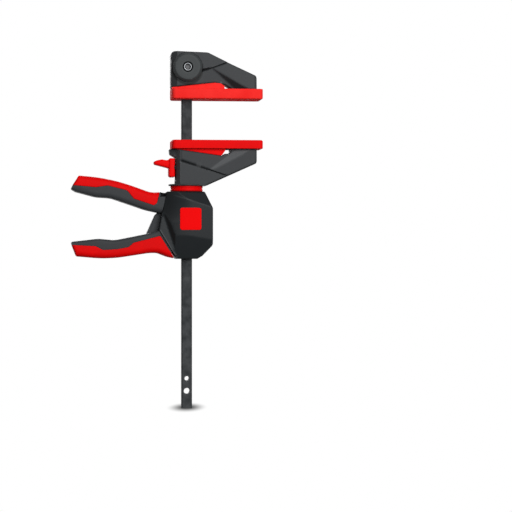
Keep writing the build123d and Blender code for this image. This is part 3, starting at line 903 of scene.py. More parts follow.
class Finish(Enum):
    """The finishes that the pieces take."""

    JAW = Moulding("jaw nylon", srgb(49, 51, 53), srgb(54, 56, 58), srgb(100, 102, 104), roughness=0.44,
                   depth=0.05, specular=0.07)
    DISC = Moulding("disc nylon", srgb(54, 57, 58), srgb(60, 63, 64), srgb(100, 102, 104), grain=0.25,
                    roughness=0.44, depth=0.03, specular=0.075)
    HOUSING = Moulding("housing nylon", srgb(24, 27, 29), srgb(26, 29, 31), srgb(104, 108, 110),
                       roughness=0.42, depth=0.03, specular=0.09)
    PAD = Moulding("red pad rubber", srgb(214, 7, 8), srgb(222, 11, 12), srgb(240, 44, 40), roughness=0.75,
                   grain=0.5, depth=0.08, specular=0.07, wear=0.3)
    # A lighter copy of the pad's red, painted for the light that falls on the upper pad.
    CHALKY_PAD = Moulding("chalky red pad rubber", srgb(226, 32, 28), srgb(234, 44, 40), srgb(246, 80, 74),
                          roughness=0.78, grain=0.5, depth=0.08, specular=0.1, wear=0.4)
    RED = Moulding("red acetal", srgb(220, 5, 7), srgb(226, 9, 10), srgb(240, 36, 32), roughness=0.5,
                   specular=0.04)
    GRIP = Moulding("red grip rubber", srgb(204, 3, 4), srgb(214, 5, 6), srgb(236, 26, 24), roughness=0.62,
                    grain=0.45, depth=0.1, specular=0.06)
    BADGE = Moulding("badge enamel", srgb(230, 3, 5), srgb(231, 4, 6), srgb(240, 16, 16), roughness=0.5,
                     depth=0.002, specular=0.02, wear=0.0)
    BAR = Steel("blackened bar steel", srgb(24, 27, 29), srgb(32, 35, 37), srgb(96, 98, 100), roughness=0.45,
                metallic=0.0, specular=0.035)
    BRIGHT = Steel("zinc plated steel", srgb(150, 152, 154), srgb(166, 168, 170), srgb(200, 200, 202))
    HEAD = Steel("oiled screw steel", srgb(84, 86, 88), srgb(96, 98, 100), srgb(140, 141, 142), metallic=0.9)
    SCREW = Steel("black screw steel", srgb(42, 43, 45), srgb(52, 53, 55), srgb(120, 120, 122), metallic=0.2)
    SPRING = Steel("spring steel", srgb(120, 122, 125), srgb(140, 142, 145), srgb(180, 180, 182), grain=0.2)
    HARD = Steel("hardened plate steel", srgb(14, 14, 15), srgb(20, 20, 21), srgb(60, 60, 62),
                 roughness=0.55, metallic=0.0, specular=0.05, wear=0.2)
    CAST = Steel("cast neck metal", srgb(60, 61, 62), srgb(74, 75, 76), srgb(130, 131, 132), roughness=0.5,
                 metallic=0.5)
    WASHER = Moulding("washer acetal", srgb(206, 204, 196), srgb(214, 212, 205), srgb(226, 224, 218),
                      roughness=0.45)
    # Painted shade: a near black put on the faces of recesses, sockets and notches.
    SHADE = Moulding("dirt in a recess", srgb(10, 10, 11), srgb(16, 16, 17), srgb(26, 26, 27), roughness=0.7,
                     specular=0.05)

    def coat(self, piece: bpy.types.Object) -> None:
        """Puts the finish on a piece."""
        piece.data.materials.clear()
        piece.data.materials.append(self.value.material())

    def stain(self, piece: bpy.types.Object, where: Callable[[Vector], bool]) -> None:
        """Puts the finish on some of a piece's faces.

        Args:
            piece: A piece that has its own finish.
            where: Tells from a face's middle, in metres, whether it is one of them.
        """
        piece.data.materials.append(self.value.material())
        for face in piece.data.polygons:
            if where(face.center):
                face.material_index = len(piece.data.materials) - 1


def mark(piece: bpy.types.Object, kind: Mark, mask: Height) -> None:
    """Marks how much painted shade or painted highlight each point of a piece takes.

    Args:
        piece: The piece.
        kind: What is marked.
        mask: Gives 0 to 1 for places along X and up the bar, in millimetres.
    """
    places = np.array([tuple(point.co) for point in piece.data.vertices]) / MM
    marks = piece.data.attributes.new(kind.value, "FLOAT", "POINT")
    marks.data.foreach_set("value", np.clip(mask(places[:, 0], places[:, 2]), 0, 1).astype(np.float32))


def seat(piece: bpy.types.Object, body: str, slot: str, finish: Finish, *nodes: str,
         sharp: float = 42.0) -> None:
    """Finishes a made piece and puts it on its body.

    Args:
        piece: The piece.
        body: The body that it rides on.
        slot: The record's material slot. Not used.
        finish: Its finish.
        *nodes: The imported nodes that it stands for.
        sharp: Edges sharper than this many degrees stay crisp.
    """
    piece.data.shade_smooth()
    piece.data.set_sharp_from_angle(angle=math.radians(sharp))
    finish.coat(piece)
    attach(piece, body)
    if nodes:
        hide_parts(*nodes)
    LOG.info("%s: %d faces, on %s", piece.name, len(piece.data.polygons), body)


# ---------------------------------------------------------------- springs
@dataclass
class Spring:
    """A compression spring up the bar, with closed ends."""

    node: str
    body: str
    joint: str
    wire: float  # its radius
    turns: float
    keep: float  # share of its length that stays at the joint's far end
    x: float = 0.0  # its axis
    closed_turns: float = 0.75  # that lie flat at each end
    turn_steps: int = 36
    wire_sides: int = 12

    def build(self) -> None:
        """Makes the spring."""
        box = Extent.of(self.node)
        radius = (box.right - box.left) / 2 - self.wire
        rows = int(self.turns * self.turn_steps) + 1
        share = np.linspace(0, 1, rows)
        turn = share * self.turns * 2 * math.pi
        ease = np.clip((share * self.turns - self.closed_turns) / (self.turns - 2 * self.closed_turns), 0, 1)
        height = box.bottom + self.wire + (box.top - box.bottom - 2 * self.wire) * ease
        centre = np.column_stack((self.x + radius * np.cos(turn), radius * np.sin(turn), height))
        outward = np.column_stack((np.cos(turn), np.sin(turn), np.zeros(rows)))
        upward = np.array((0.0, 0.0, 1.0))
        rings = [
            centre + self.wire * (math.cos(a) * outward + math.sin(a) * upward)
            for a in np.linspace(0, 2 * math.pi, self.wire_sides, endpoint=False)
        ]
        points = np.stack(rings, axis=1).reshape(-1, 3) * MM
        faces = tube_faces(rows, self.wire_sides, closed=False)
        for row in (0, rows - 1):
            faces.append(tuple(range(row * self.wire_sides, (row + 1) * self.wire_sides)))
        made = new_object(self.node + "_wire", points, faces)
        seat(made, self.body, "spring_steel", Finish.SPRING, self.node, sharp=80)
        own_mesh(made)


# ---------------------------------------------------------------- bar and fixed jaw
def dress_nodes() -> None:
    """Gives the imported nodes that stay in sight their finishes."""
    finishes = {
        "bar": Finish.BAR,
        "clamp_nut": Finish.BRIGHT,
        "locating_pin": Finish.BRIGHT,
        "fulcrum_pin": Finish.SCREW,
        "trigger_pin": Finish.SCREW,
        "brake_plate": Finish.HARD,
        "drive_plates": Finish.HARD,
        "thrust_washer": Finish.WASHER,
        "seat_washer": Finish.BRIGHT,
        "housing_screws": Finish.SCREW,
    }
    for node, finish in finishes.items():
        finish.coat(bpy.data.objects[node])
        LOG.info("%s: packed node, %s", node, finish.value.name)


@dataclass
class Pad:
    """A red jaw pad: a bevelled plate with a sloping seat for the jaw's arm."""

    node: str
    body: str
    plate: Span  # heights of the plate's seat side and clamping face
    seat_rise: float  # the seat beyond the plate, at the bar
    slope: float  # rise of the seat per run along X
    back_gap: float = 0.0  # the wedge starts this far inside the plate's back
    corner: float = 3.5
    wedge_half: float = 11.0
    # The wedge's end: how far inside the tip, the rise above its slope, and the rounding.
    wedge_end: tuple[Corner, ...] = ((41.4, -0.1, 3.0), (36.0, -1.2, 1.2), (32.8, -3.7, 0.8))
    bevel: float = 1.3  # round the clamping face
    finish: Finish = Finish.PAD
    seat_rim: float = 0.7
    bar_gap: float = 0.5
    bar_way: float = 30.0  # how far the bar's way is cut past the plate

    def build(self) -> None:
        """Makes the pad."""
        box = Extent.of(self.node)
        seat_z, face_z = self.plate
        low, high = sorted(self.plate)
        away = 1 if seat_z > face_z else -1
        rims = (self.bevel, self.seat_rim) if away > 0 else (self.seat_rim, self.bevel)
        corners = rectangle((box.left, box.right), (box.front, box.rear), self.corner)
        pad = slab(self.node + "_rubber", corners, (low, high), rims, 4.0, Facing.UP)

        def wedge_z(x: float) -> float:
            """Height of the seat."""
            return seat_z + away * (self.seat_rise + self.slope * x)

        left, foot = box.left + self.back_gap, seat_z - away
        end = [
            (box.right - back, wedge_z(box.right - back) + away * rise, radius)
            for back, rise, radius in self.wedge_end
        ]
        wedge = [(left, foot, 0), (left, wedge_z(left), 0.5), *end, (end[-1][0], foot, 0)]
        across = (-self.wedge_half, self.wedge_half)
        carve(pad, slab("wedge", wedge, across, (self.seat_rim, self.seat_rim), 3.0), Carving.JOIN)
        cut_bar_way(pad, self.bar_gap, (low - self.bar_way, high + self.bar_way))
        seat(pad, self.body, "red_pad", self.finish, self.node)


@dataclass
class ArmRelief:
    """The modelled faces of a jaw: a head, a raised arm, and a facet and groove between them.

    Places are given for the fixed jaw. The sliding jaw has them mirrored about the middle of the opening.
    """

    head_half: float = 13.0
    head_fall: float = 0.06  # of the head's face along X
    arm_half: float = 11.4
    groove: tuple[Place, ...] = ((12.7, 24.5), (20.2, 26.2), (33.8, 31.4))
    ridge: Line = Line((22.4, 26.4), (51.6, 9.7))  # where the arm's face breaks
    arm_tilt: float = 0.08  # of the arm's face towards its outer edge
    fall: float = 0.7  # of the facet beside the ridge
    # Painted shade on the facet, and painted highlights on the facet and along the ridge.
    facet_grime: float = 0.6
    facet_rub: float = 0.0
    ridge_rub: float = 0.25
    valley: tuple[float, float] = (20.6, 10.9)  # where the seat side's face starts, and its height there
    valley_fall: float = 0.18
    valley_end: float = 37.1  # the mesh follows the valley as far as this along X
    seat_top: float = 12.6  # the seat side's face near the bar
    seam: float = 0.12  # half width of the soft crease between arm and seat side
    groove_width: tuple[float, float] = (2.7, 1.3)  # in its first and in its second part
    groove_depth: tuple[float, float] = (1.9, 0.9)
    fade: Span = (-2.0, 4.0)  # the groove starts between these places along X
    back: tuple[float, float, float] = (-13.9, 5.0, 1.2)  # the back edge, and its chamfer's width and slope

    def _groove(self, x: np.ndarray, z: np.ndarray) -> tuple[np.ndarray, ...]:
        """Measures the groove.

        Args:
            x: Places along X.
            z: Heights up the bar.

        Returns:
            How far each place is beyond the groove, and the groove's width, depth and share there.
        """
        first, second = chain(self.groove)
        under = np.maximum(first.beyond(x, z), second.beyond(x, z))
        late = ramp(x, self.groove[0][0], self.groove[1][0] + 1.0)
        width, depth = (
            early + late * (last - early) for early, last in (self.groove_width, self.groove_depth)
        )
        return under, width, depth, ramp(x, *self.fade)

    def height(self, x: np.ndarray, z: np.ndarray) -> np.ndarray:
        """Height of the face.

        Args:
            x: Places along X.
            z: Heights up the bar, as on the fixed jaw.

        Returns:
            How far the face stands out from the clamp's middle.
        """
        head = self.head_half - self.head_fall * np.clip(x - self.groove[0][0], 0, None)
        under, width, depth, start = self._groove(x, z)
        beside = higher(*self._arm(x, z), self.seam)
        share = np.clip(0.5 + under / width, 0, 1)
        cut = depth * start * near(under, 0.5 * width, 1.0)
        back, wide, slope = self.back
        chamfer = slope * np.clip(back + wide - x, 0, None)
        return head + (beside - head) * share * start - cut - chamfer

    def _arm(self, x: np.ndarray, z: np.ndarray) -> tuple[np.ndarray, np.ndarray]:
        """Heights of the arm's face with its facet, and of the face beside the seat.

        Args:
            x: Places along X.
            z: Heights up the bar.

        Returns:
            Both heights for each place.
        """
        past = self.ridge.beyond(x, z)
        band = self.arm_half - self.fall * np.clip(past, 0, None) + self.arm_tilt * np.clip(past, None, 0)
        return band, lower(self.valley[1] - self.valley_fall * (x - self.valley[0]), self.seat_top, 0.6)

    def _facet(self, x: np.ndarray, z: np.ndarray) -> np.ndarray:
        """Where the facet between ridge and valley is.

        Args:
            x: Places along X.
            z: Heights up the bar.

        Returns:
            0 to 1 for each place.
        """
        under, width, _, _ = self._groove(x, z)
        band, floor = self._arm(x, z)
        inside = np.clip(self.ridge.beyond(x, z), 0, 1) * np.clip((band - floor) / self.fall, 0, 1)
        return inside * np.clip((under - 0.5 * width) / 1.0, 0, 1)

    def grime(self, x: np.ndarray, z: np.ndarray) -> np.ndarray:
        """How much painted shade the groove and the facet take.

        Args:
            x: Places along X.
            z: Heights up the bar.

        Returns:
            0 to 1 for each place.
        """
        under, width, _, start = self._groove(x, z)
        on_groove = (x > self.fade[0]) & (x < self.groove[-1][0] + 1)
        groove = near(under, 0.5 * width) * start * on_groove
        return np.maximum(groove, self.facet_grime * self._facet(x, z))

    def rub(self, x: np.ndarray, z: np.ndarray) -> np.ndarray:
        """How much painted highlight the ridge and the facet take.

        Args:
            x: Places along X.
            z: Heights up the bar.

        Returns:
            0 to 1 for each place.
        """
        under, width, _, _ = self._groove(x, z)
        on_arm = np.clip((under - 0.5 * width) / 2.0, 0, 1) * (x < self.ridge.end[0] - 4.0)
        ridge = self.ridge_rub * near(self.ridge.beyond(x, z), 0.9) * on_arm
        return np.maximum(ridge, self.facet_rub * self._facet(x, z))

    def creases(self) -> list[Line]:
        """The lines that the mesh follows.

        Returns:
            The back's chamfer, then the ridge, valley and groove with their sides.
        """
        first, second = chain(self.groove)
        valley = Line(self._valley_at(self.valley[0] + 1.0), self._valley_at(self.valley_end))
        halves = [width / 2 for width in self.groove_width]
        sides = ((self.ridge, 1.0), (valley, 1.0), (first, halves[0]), (second, halves[1]))
        edge = self.back[0] + self.back[1]
        lines = [Line((edge, -10.0), (edge, 60.0))]
        for line, aside in sides:
            lines += [line, line.shifted(aside), line.shifted(-aside)]
        return lines

    def _valley_at(self, x: float) -> tuple[float, float]:
        """Where the facet meets the seat side's face.

        Args:
            x: Its place along X.

        Returns:
            The place along X, and its height up the bar.
        """
        (x0, z0), (x1, z1) = self.ridge.start, self.ridge.end
        length = math.dist((x0, z0), (x1, z1))
        away = (self.arm_half - self.valley[1] + self.valley_fall * (x - self.valley[0])) / self.fall
        return x, z0 + ((x - x0) * (z1 - z0) / length - away) * length / (x1 - x0)


@dataclass
class FixedJaw:
    """The jaw at the bar's head, with its clamp discs and screw."""

    relief: ArmRelief = field(default_factory=ArmRelief)
    seat_rise: float = 2.8
    seat_slope: float = 0.112
    disc_sunk: float = 0.8
    disc_gap: float = 0.3  # between a disc and the recess that it lies in
    disc_shadow_drop: float = 1.7  # how far below the disc its painted shadow reaches
    disc_shadow_edge: Span = (1.3, 0.8)  # how far round the disc the painted shadow reaches, and how soft its end is
    disc_radii: Span = (12.6, 10.7)  # at its foot and at its face
    counterbore: tuple[float, float] = (4.3, 2.6)  # radius and depth
    screw_way: float = 2.6
    screw_shank: float = 2.5
    screw_head: tuple[float, float] = (3.5, 2.4)  # radius and height
    socket: float = 4.0  # width over its flats
    # Shares of the socket's width: radii of its chamfer's top and foot, and of the painted shade in it.
    socket_rings: tuple[float, float, float] = (0.62, 0.55, 0.59)
    nut: tuple[float, float] = (8.1, 3.2)  # width over its flats, and depth
    pin_way: float = 2.03

    def build(self) -> None:
        """Makes the jaw and what is on it."""
        self._jaw()
        for side in Side:
            self._disc(side)
        self._screw()
        plate = (Extent.of("fixed_jaw").bottom, 0.0)
        Pad(
            "fixed_pad", "fixed", plate, self.seat_rise, self.seat_slope, finish=Finish.CHALKY_PAD,
        ).build()

    def _jaw(self) -> None:
        """The moulded arm."""
        box, bar = Extent.of("fixed_jaw"), Extent.of("bar")
        end = Extent.of("fixed_pad").right - SEAT_SETBACK

        def seat_z(x: float) -> float:
            """Height of the pad's seat."""
            return box.bottom + self.seat_rise + self.seat_slope * x

        corners = [
            (box.left, seat_z(box.left), 0.6),
            (box.left, bar.top + 2.0, 3.0),
            (bar.right + 13.0, bar.top + 0.9, 6.0),
            (box.right - 25.3, bar.top - 7.3, 4.0),
            (box.right, box.bottom + 11.3, 3.2, 2.5),
            (box.right, box.bottom, 0.4),
            (end + 12.4, box.bottom, 0.4),
            (end + 5.5, seat_z(end) - 2.0, 1.0),
            (end + 1.9, seat_z(end) - 1.4, 0.8),
            (end - 3.7, seat_z(end - 3.7), 1.0),
        ]
        relief = Relief(Outline(corners, rim=1.0), self.relief.height, creases=self.relief.creases())
        jaw = relief.build("fixed_jaw_moulding")
        screw_z, pin = Extent.of("clamp_screw").middle[1], Extent.of("locating_pin")
        cut_bar_way(jaw, 0.0, (-CLEAR, bar.top))
        for side in reversed(Side):
            recess = side.span(self.relief.head_half - self.disc_sunk, PAST)
            bore(jaw, self.disc_radii[0] + self.disc_gap, recess, (0.0, screw_z))
        bore(jaw, self.screw_way, (-PAST, PAST), (0.0, screw_z))
        bore(jaw, self.pin_way, (-PAST, -pin.front), (0.0, pin.middle[1]))
        seat(jaw, "fixed", "jaw_plastic", Finish.JAW, "fixed_jaw")

        def grime(x: np.ndarray, z: np.ndarray) -> np.ndarray:
            """The relief's painted shade, and a painted shadow under the disc.

            Args:
                x: Places along X.
                z: Heights up the bar.

            Returns:
                0 to 1 for each place.
            """
            away = np.hypot(x, z - screw_z + self.disc_shadow_drop)
            past, soft = self.disc_shadow_edge
            under_disc = np.clip((self.disc_radii[0] + past - away) / soft, 0, 1)
            return np.maximum(self.relief.grime(x, z), under_disc)

        # Painted shade and painted highlights on the jaw.
        mark(jaw, Mark.GRIME, grime)
        mark(jaw, Mark.RUB, self.relief.rub)

    def _disc(self, side: Side) -> None:
        """A clamp disc.

        Args:
            side: Where it is.
        """
        node = side.node("clamp_disc")
        box = Extent.of(node)
        foot, face = (-box.rear, -box.front)[::side.value]
        axis = (0.0, box.middle[1])
        large, small = self.disc_radii
        hole, depth = self.counterbore
        floor = face - side.value * depth
        disc = lathe(node + "_moulding", [
            (self.screw_way, foot, 0), (large, foot, 0.3), (large, foot + side.value * self.disc_sunk, 0.4),
            (small, face, 0.9), (hole + 0.5, face, 0), (hole, face - side.value * 0.5, 0),
            (hole, floor, 0.2), (self.screw_way, floor, 0),
        ], Facing.FRONT, axis, 128)
        if side is Side.REAR:
            flats, deep = self.nut
            carve(disc, hexagon(flats, (-PAST, face + deep), axis))
        seat(disc, "fixed", "disc_plastic", Finish.DISC, node)
        # Painted shade on the counterbore's walls and floor.
        reach, deepest = (hole + 0.05) * MM, (abs(face) - 0.45) * MM
        Finish.SHADE.stain(disc, lambda at: (
            math.hypot(at.x, at.z - axis[1] * MM) < reach and abs(at.y) < deepest
        ))

    def _screw(self) -> None:
        """The socket head screw through the discs."""
        box = Extent.of("clamp_screw")
        axis = (0.0, box.middle[1])
        foot, top = -box.rear, -box.front
        radius, head = self.screw_head
        shank, below = self.screw_shank, top - head
        chamfer, hollow, reach = (self.socket * share for share in self.socket_rings)
        screw = lathe("clamp_screw_steel", [
            (0, foot, 0), (shank - 0.3, foot, 0), (shank, foot + 0.4, 0), (shank, below, 0.2),
            (radius, below, 0.1), (radius, top, 0.45), (chamfer, top, 0), (hollow, top - 0.25, 0),
            (0, top - 0.25, 0),
        ], Facing.FRONT, axis)
        carve(screw, hexagon(self.socket, (below + 0.4, top + 1), axis))
        seat(screw, "fixed", "bright_steel", Finish.HEAD, "clamp_screw")
        floor = -(below + 0.5) * MM
        # Painted shade on the socket's walls, and the darker screw steel painted on its floor as shade.
        for finish, low, high in (
            (Finish.SHADE, -(top - 0.1) * MM, floor), (Finish.SCREW, floor, floor + 0.3 * MM),
        ):
            finish.stain(screw, lambda at, low=low, high=high: (
                math.hypot(at.x, at.z - axis[1] * MM) < reach * MM and low <= at.y < high
            ))


# ---------------------------------------------------------------- sliding jaw
@dataclass
class SlidingJaw:
    """The jaw that slides on the bar, with its release lever, brake spring and swivel collar."""

    relief: ArmRelief = field(default_factory=lambda: ArmRelief(
        groove=((-5.6, 17.5), (18.9, 25.4), (31.6, 29.7)),
        ridge=Line((22.3, 25.6), (52.7, 9.7)),
        valley=(18.5, 10.9),
        valley_fall=0.04,
        arm_tilt=0.0,
        fall=0.2,
        facet_grime=0.0,
        facet_rub=0.85,
        groove_depth=(1.5, 0.9),
        fade=(-7.0, -4.5),
        back=(-9.9, 3.4, 1.5),
    ))
    seat_drop: float = 1.8
    seat_slope: float = 0.143
    hook_reach: float = 5.4
    hook_gap: float = 0.3  # between the hook and the pad
    hook_half: float = 8.6
    root: float = 12.0  # where the arm's underside starts, beyond the bar
    tip_drop: float = 12.2  # where it ends, below the jaw's top
    flange: tuple[float, float] = (15.6, 1.4)  # radius and thickness
    window: float = 8.0  # half width of the room for the brake plate
    window_drops: Span = (26.5, 13.0)  # its floor and its roof, below the jaw's top
    pin_way: float = 1.53
    pin_boss: float = 2.6  # radius of the raised face over the fulcrum pin
    neck_radii: Span = (9.1, 12.1)  # between its flanges, and of them
    neck_gap: float = 0.08
    neck_flanges: Span = (2.8, 2.5)  # thickness of the upper and the lower one
    neck_flat: float = 4.6  # from the bar to the flat on the upper flange
    neck_room: Span = (1.2, 4.0)  # floor and roof of the upper flange's room, above the jaw's base
    collar_gap: float = 0.04
    collar_groove: float = 0.4
    collar_lip: Span = (1.7, 2.1)  # height of a lip round it, and of the groove's edge
    shoe_extra: float = 0.6  # the lever's shoe is this much wider than its packed half
    shoe_rim: float = 1.4
    tab_rim: float = 1.8
    tab_taper: float = 0.09

    def build(self) -> None:
        """Makes the jaw and what is on it."""
        self._jaw()
        self._neck()
        self._collar()
        self._lever()
        x = Extent.of("brake_spring").middle[0]
        Spring("brake_spring", "sliding_jaw", "release_tilt", wire=0.3, turns=7, keep=0.79, x=x).build()
        plate = (Extent.of("moving_jaw").top, Extent.of("moving_pad").top)
        Pad(
            "moving_pad", "sliding_jaw", plate, self.seat_drop, self.seat_slope, back_gap=4.4,
            wedge_end=((35.6, 0.0, 1.2), (34.7, -0.9, 0.8), (31.6, -5.8, 0.4)),
        ).build()

    def _jaw(self) -> None:
        """The moulded arm, open at the back for the brake plate."""
        box, bar, pad = Extent.of("moving_jaw"), Extent.of("bar"), Extent.of("moving_pad")
        top, base = box.top, box.bottom
        back = bar.left - self.hook_reach
        end = pad.right - SEAT_SETBACK

        def seat_z(x: float) -> float:
            """Height of the pad's seat."""
            return top - self.seat_drop - self.seat_slope * x

        corners = [
            (back - self.hook_reach, top - self.hook_gap, 0.6),
            (back - self.hook_reach + 0.5, top - 4.9, 1.2),
            (back - 1.2, top - 7.0, 1.0),
            (back, top - 7.6, 0.5),
            (back, base, 0),
            (bar.right + self.root, base, 2.0),
            (box.right, top - self.tip_drop, 3.0, 2.5),
            (box.right, top, 0.5),
            (end + 10.2, top, 0.5),
            (end + 10.2, top - 2.7, 0.8),
            (end + 8.0, top - 4.2, 0.8),
            (end + 5.1, top - 4.2, 0.8),
            (end + 2.4, seat_z(end + 2.4), 0.8),
            (back + 0.9, seat_z(back + 0.9), 0),
            (back + 0.5, top - self.hook_gap, 0),
        ]
        pin = Extent.of("fulcrum_pin")

        def mirrored(shape: Height) -> Height:
            """A height or mask of the fixed jaw, turned over about the middle of the opening."""
            return lambda x, z: shape(x, pad.top - z)

        def height(x: np.ndarray, z: np.ndarray) -> np.ndarray:
            """The arm's relief, the hook and a boss over the fulcrum pin.

            Args:
                x: Places along X.
                z: Heights up the bar.

            Returns:
                How far the face stands out from the clamp's middle.
            """
            hook = self.hook_half - 0.5 * np.clip(back + 1.5 - x, 0, None)
            on_pin = np.hypot(x - pin.middle[0], z - pin.middle[1]) < self.pin_boss
            over_pin = np.where(on_pin, 0.5 - pin.front, 0.0)
            return np.maximum(mirrored(self.relief.height)(x, z), np.maximum(hook, over_pin))

        creases = [crease.lifted(pad.top, -1) for crease in self.relief.creases()]
        jaw = Relief(Outline(corners, rim=1.0), height, creases=creases).build("moving_jaw_moulding")
        radius, thick = self.flange
        ring = [(0, base, 0), (radius, base, 0.4), (radius, base + thick, 0.5), (0, base + thick, 0)]
        carve(jaw, lathe("flange", ring, Facing.UP, pace=0.9), Carving.JOIN)
        floor, roof = (top - drop for drop in self.window_drops)
        across = (back - 9, Extent.of("brake_plate").right + 1)
        carve(jaw, block("window", across, (-self.window, self.window), (floor, roof)))
        cut_bar_way(jaw, SLIDE_GAP, (base - CLEAR, top + CLEAR))
        bore(jaw, self.pin_way, (-PAST, -pin.front), pin.middle)
        small, large = self.neck_radii
        floor, roof = (base + rise for rise in self.neck_room)
        bore(jaw, small, (base - CLEAR, floor))
        bore(jaw, large, (floor, roof))
        seat(jaw, "sliding_jaw", "jaw_plastic", Finish.JAW, "moving_jaw")
        under = Line((bar.right + self.root, base), (box.right, top - self.tip_drop))

        def grime(x: np.ndarray, z: np.ndarray) -> np.ndarray:
            """The relief's painted shade, and painted shade along the arm's underside."""
            line = np.clip(1.5 - np.abs(under.beyond(x, z)), 0, 0.85) * (x > under.start[0])
            return np.maximum(mirrored(self.relief.grime)(x, z), line)

        # Painted shade and painted highlights on the jaw.
        mark(jaw, Mark.GRIME, grime)
        mark(jaw, Mark.RUB, mirrored(self.relief.rub))

    def _neck(self) -> None:
        """The metal neck that the grip turns on, with a flat on its upper flange."""
        box = Extent.of("swivel_neck")
        small, large = (radius - self.neck_gap for radius in self.neck_radii)
        upper, under = box.top - self.neck_flanges[0], box.bottom + self.neck_flanges[1]
        neck = lathe("swivel_neck_turning", [
            (0, box.bottom, 0), (large, box.bottom, 0.3), (large, under, 0.3), (small, under, 0.4),
            (small, upper, 0.4), (large, upper, 0.2), (large, box.top, 0.3), (0, box.top, 0),
        ], Facing.UP)
        flat_x = Extent.of("bar").left - self.neck_flat
        carve(neck, block("flat", (-PAST, flat_x), (-PAST, PAST), (upper - 0.5, box.top + 1)))
        cut_bar_way(neck, SLIDE_GAP, (box.bottom - CLEAR, box.top + CLEAR))
        seat(neck, "sliding_jaw", "cast_metal", Finish.CAST, "swivel_neck")

    def _collar(self) -> None:
        """The red ring under the jaw, with a shallow groove round it."""
        box = Extent.of("swivel_collar")
        bottom, top = box.bottom, box.top
        hole, radius = self.neck_radii[0] - self.collar_gap, box.right
        waist = radius - self.collar_groove
        lip, rise = self.collar_lip
        collar = lathe("swivel_collar_ring", [
            (hole, bottom, 0), (radius, bottom, 0.7), (radius, bottom + lip, 0.3),
            (waist, bottom + rise, 0.2), (waist, top - rise, 0.2),
            (radius, top - lip, 0.3), (radius, top, 0.7), (hole, top, 0),
        ], Facing.UP, steps=128)
        seat(collar, "sliding_jaw", "red_plastic", Finish.RED, "swivel_collar")
        # Painted shade: a little all over, and darker towards the top and bottom edges.
        mark(collar, Mark.GRIME, lambda x, z: (
            0.1 + 0.4 * np.clip(1.6 - np.minimum(z - bottom, top - z) / 0.9, 0, 1)
        ))

    def _lever(self) -> None:
        """The release lever: a shoe over the window and a finger tab."""
        box = Extent.of("release_lever")
        x, top, half = box.right, box.top, box.rear
        shoe = [
            (x - 5.1, top, 1.4), (x, top, 0.8), (x, box.bottom, 0.8), (x - 5.1, box.bottom, 1.8),
        ]
        tab = [
            (x - 3.0, top - 0.6, 0), (x - 7.2, top - 1.7, 3.0), (x - 11.0, top - 0.9, 4.0),
            (x - 16.2, top - 2.0, 3.0), (box.left, top - 3.2, 0.9), (box.left + 0.6, top - 5.4, 0.9),
            (x - 6.4, top - 8.2, 4.0), (x - 3.0, top - 9.6, 0),
        ]
        wide, rim = half + self.shoe_extra, self.shoe_rim
        lever = slab("release_lever_moulding", shoe, (-wide, wide), (rim, rim), 1.5)

        def tab_height(u: np.ndarray, v: np.ndarray) -> np.ndarray:
            """The tab, which narrows towards its tip."""
            return half - self.shoe_extra - self.tab_taper * np.clip(x - 4 - u, 0, None)

        tab_solid = Relief(Outline(tab, rim=self.tab_rim), tab_height, grid=1.2).build("tab")
        carve(lever, tab_solid, Carving.JOIN)
        seat(lever, "release", "red_plastic", Finish.RED, "release_lever")


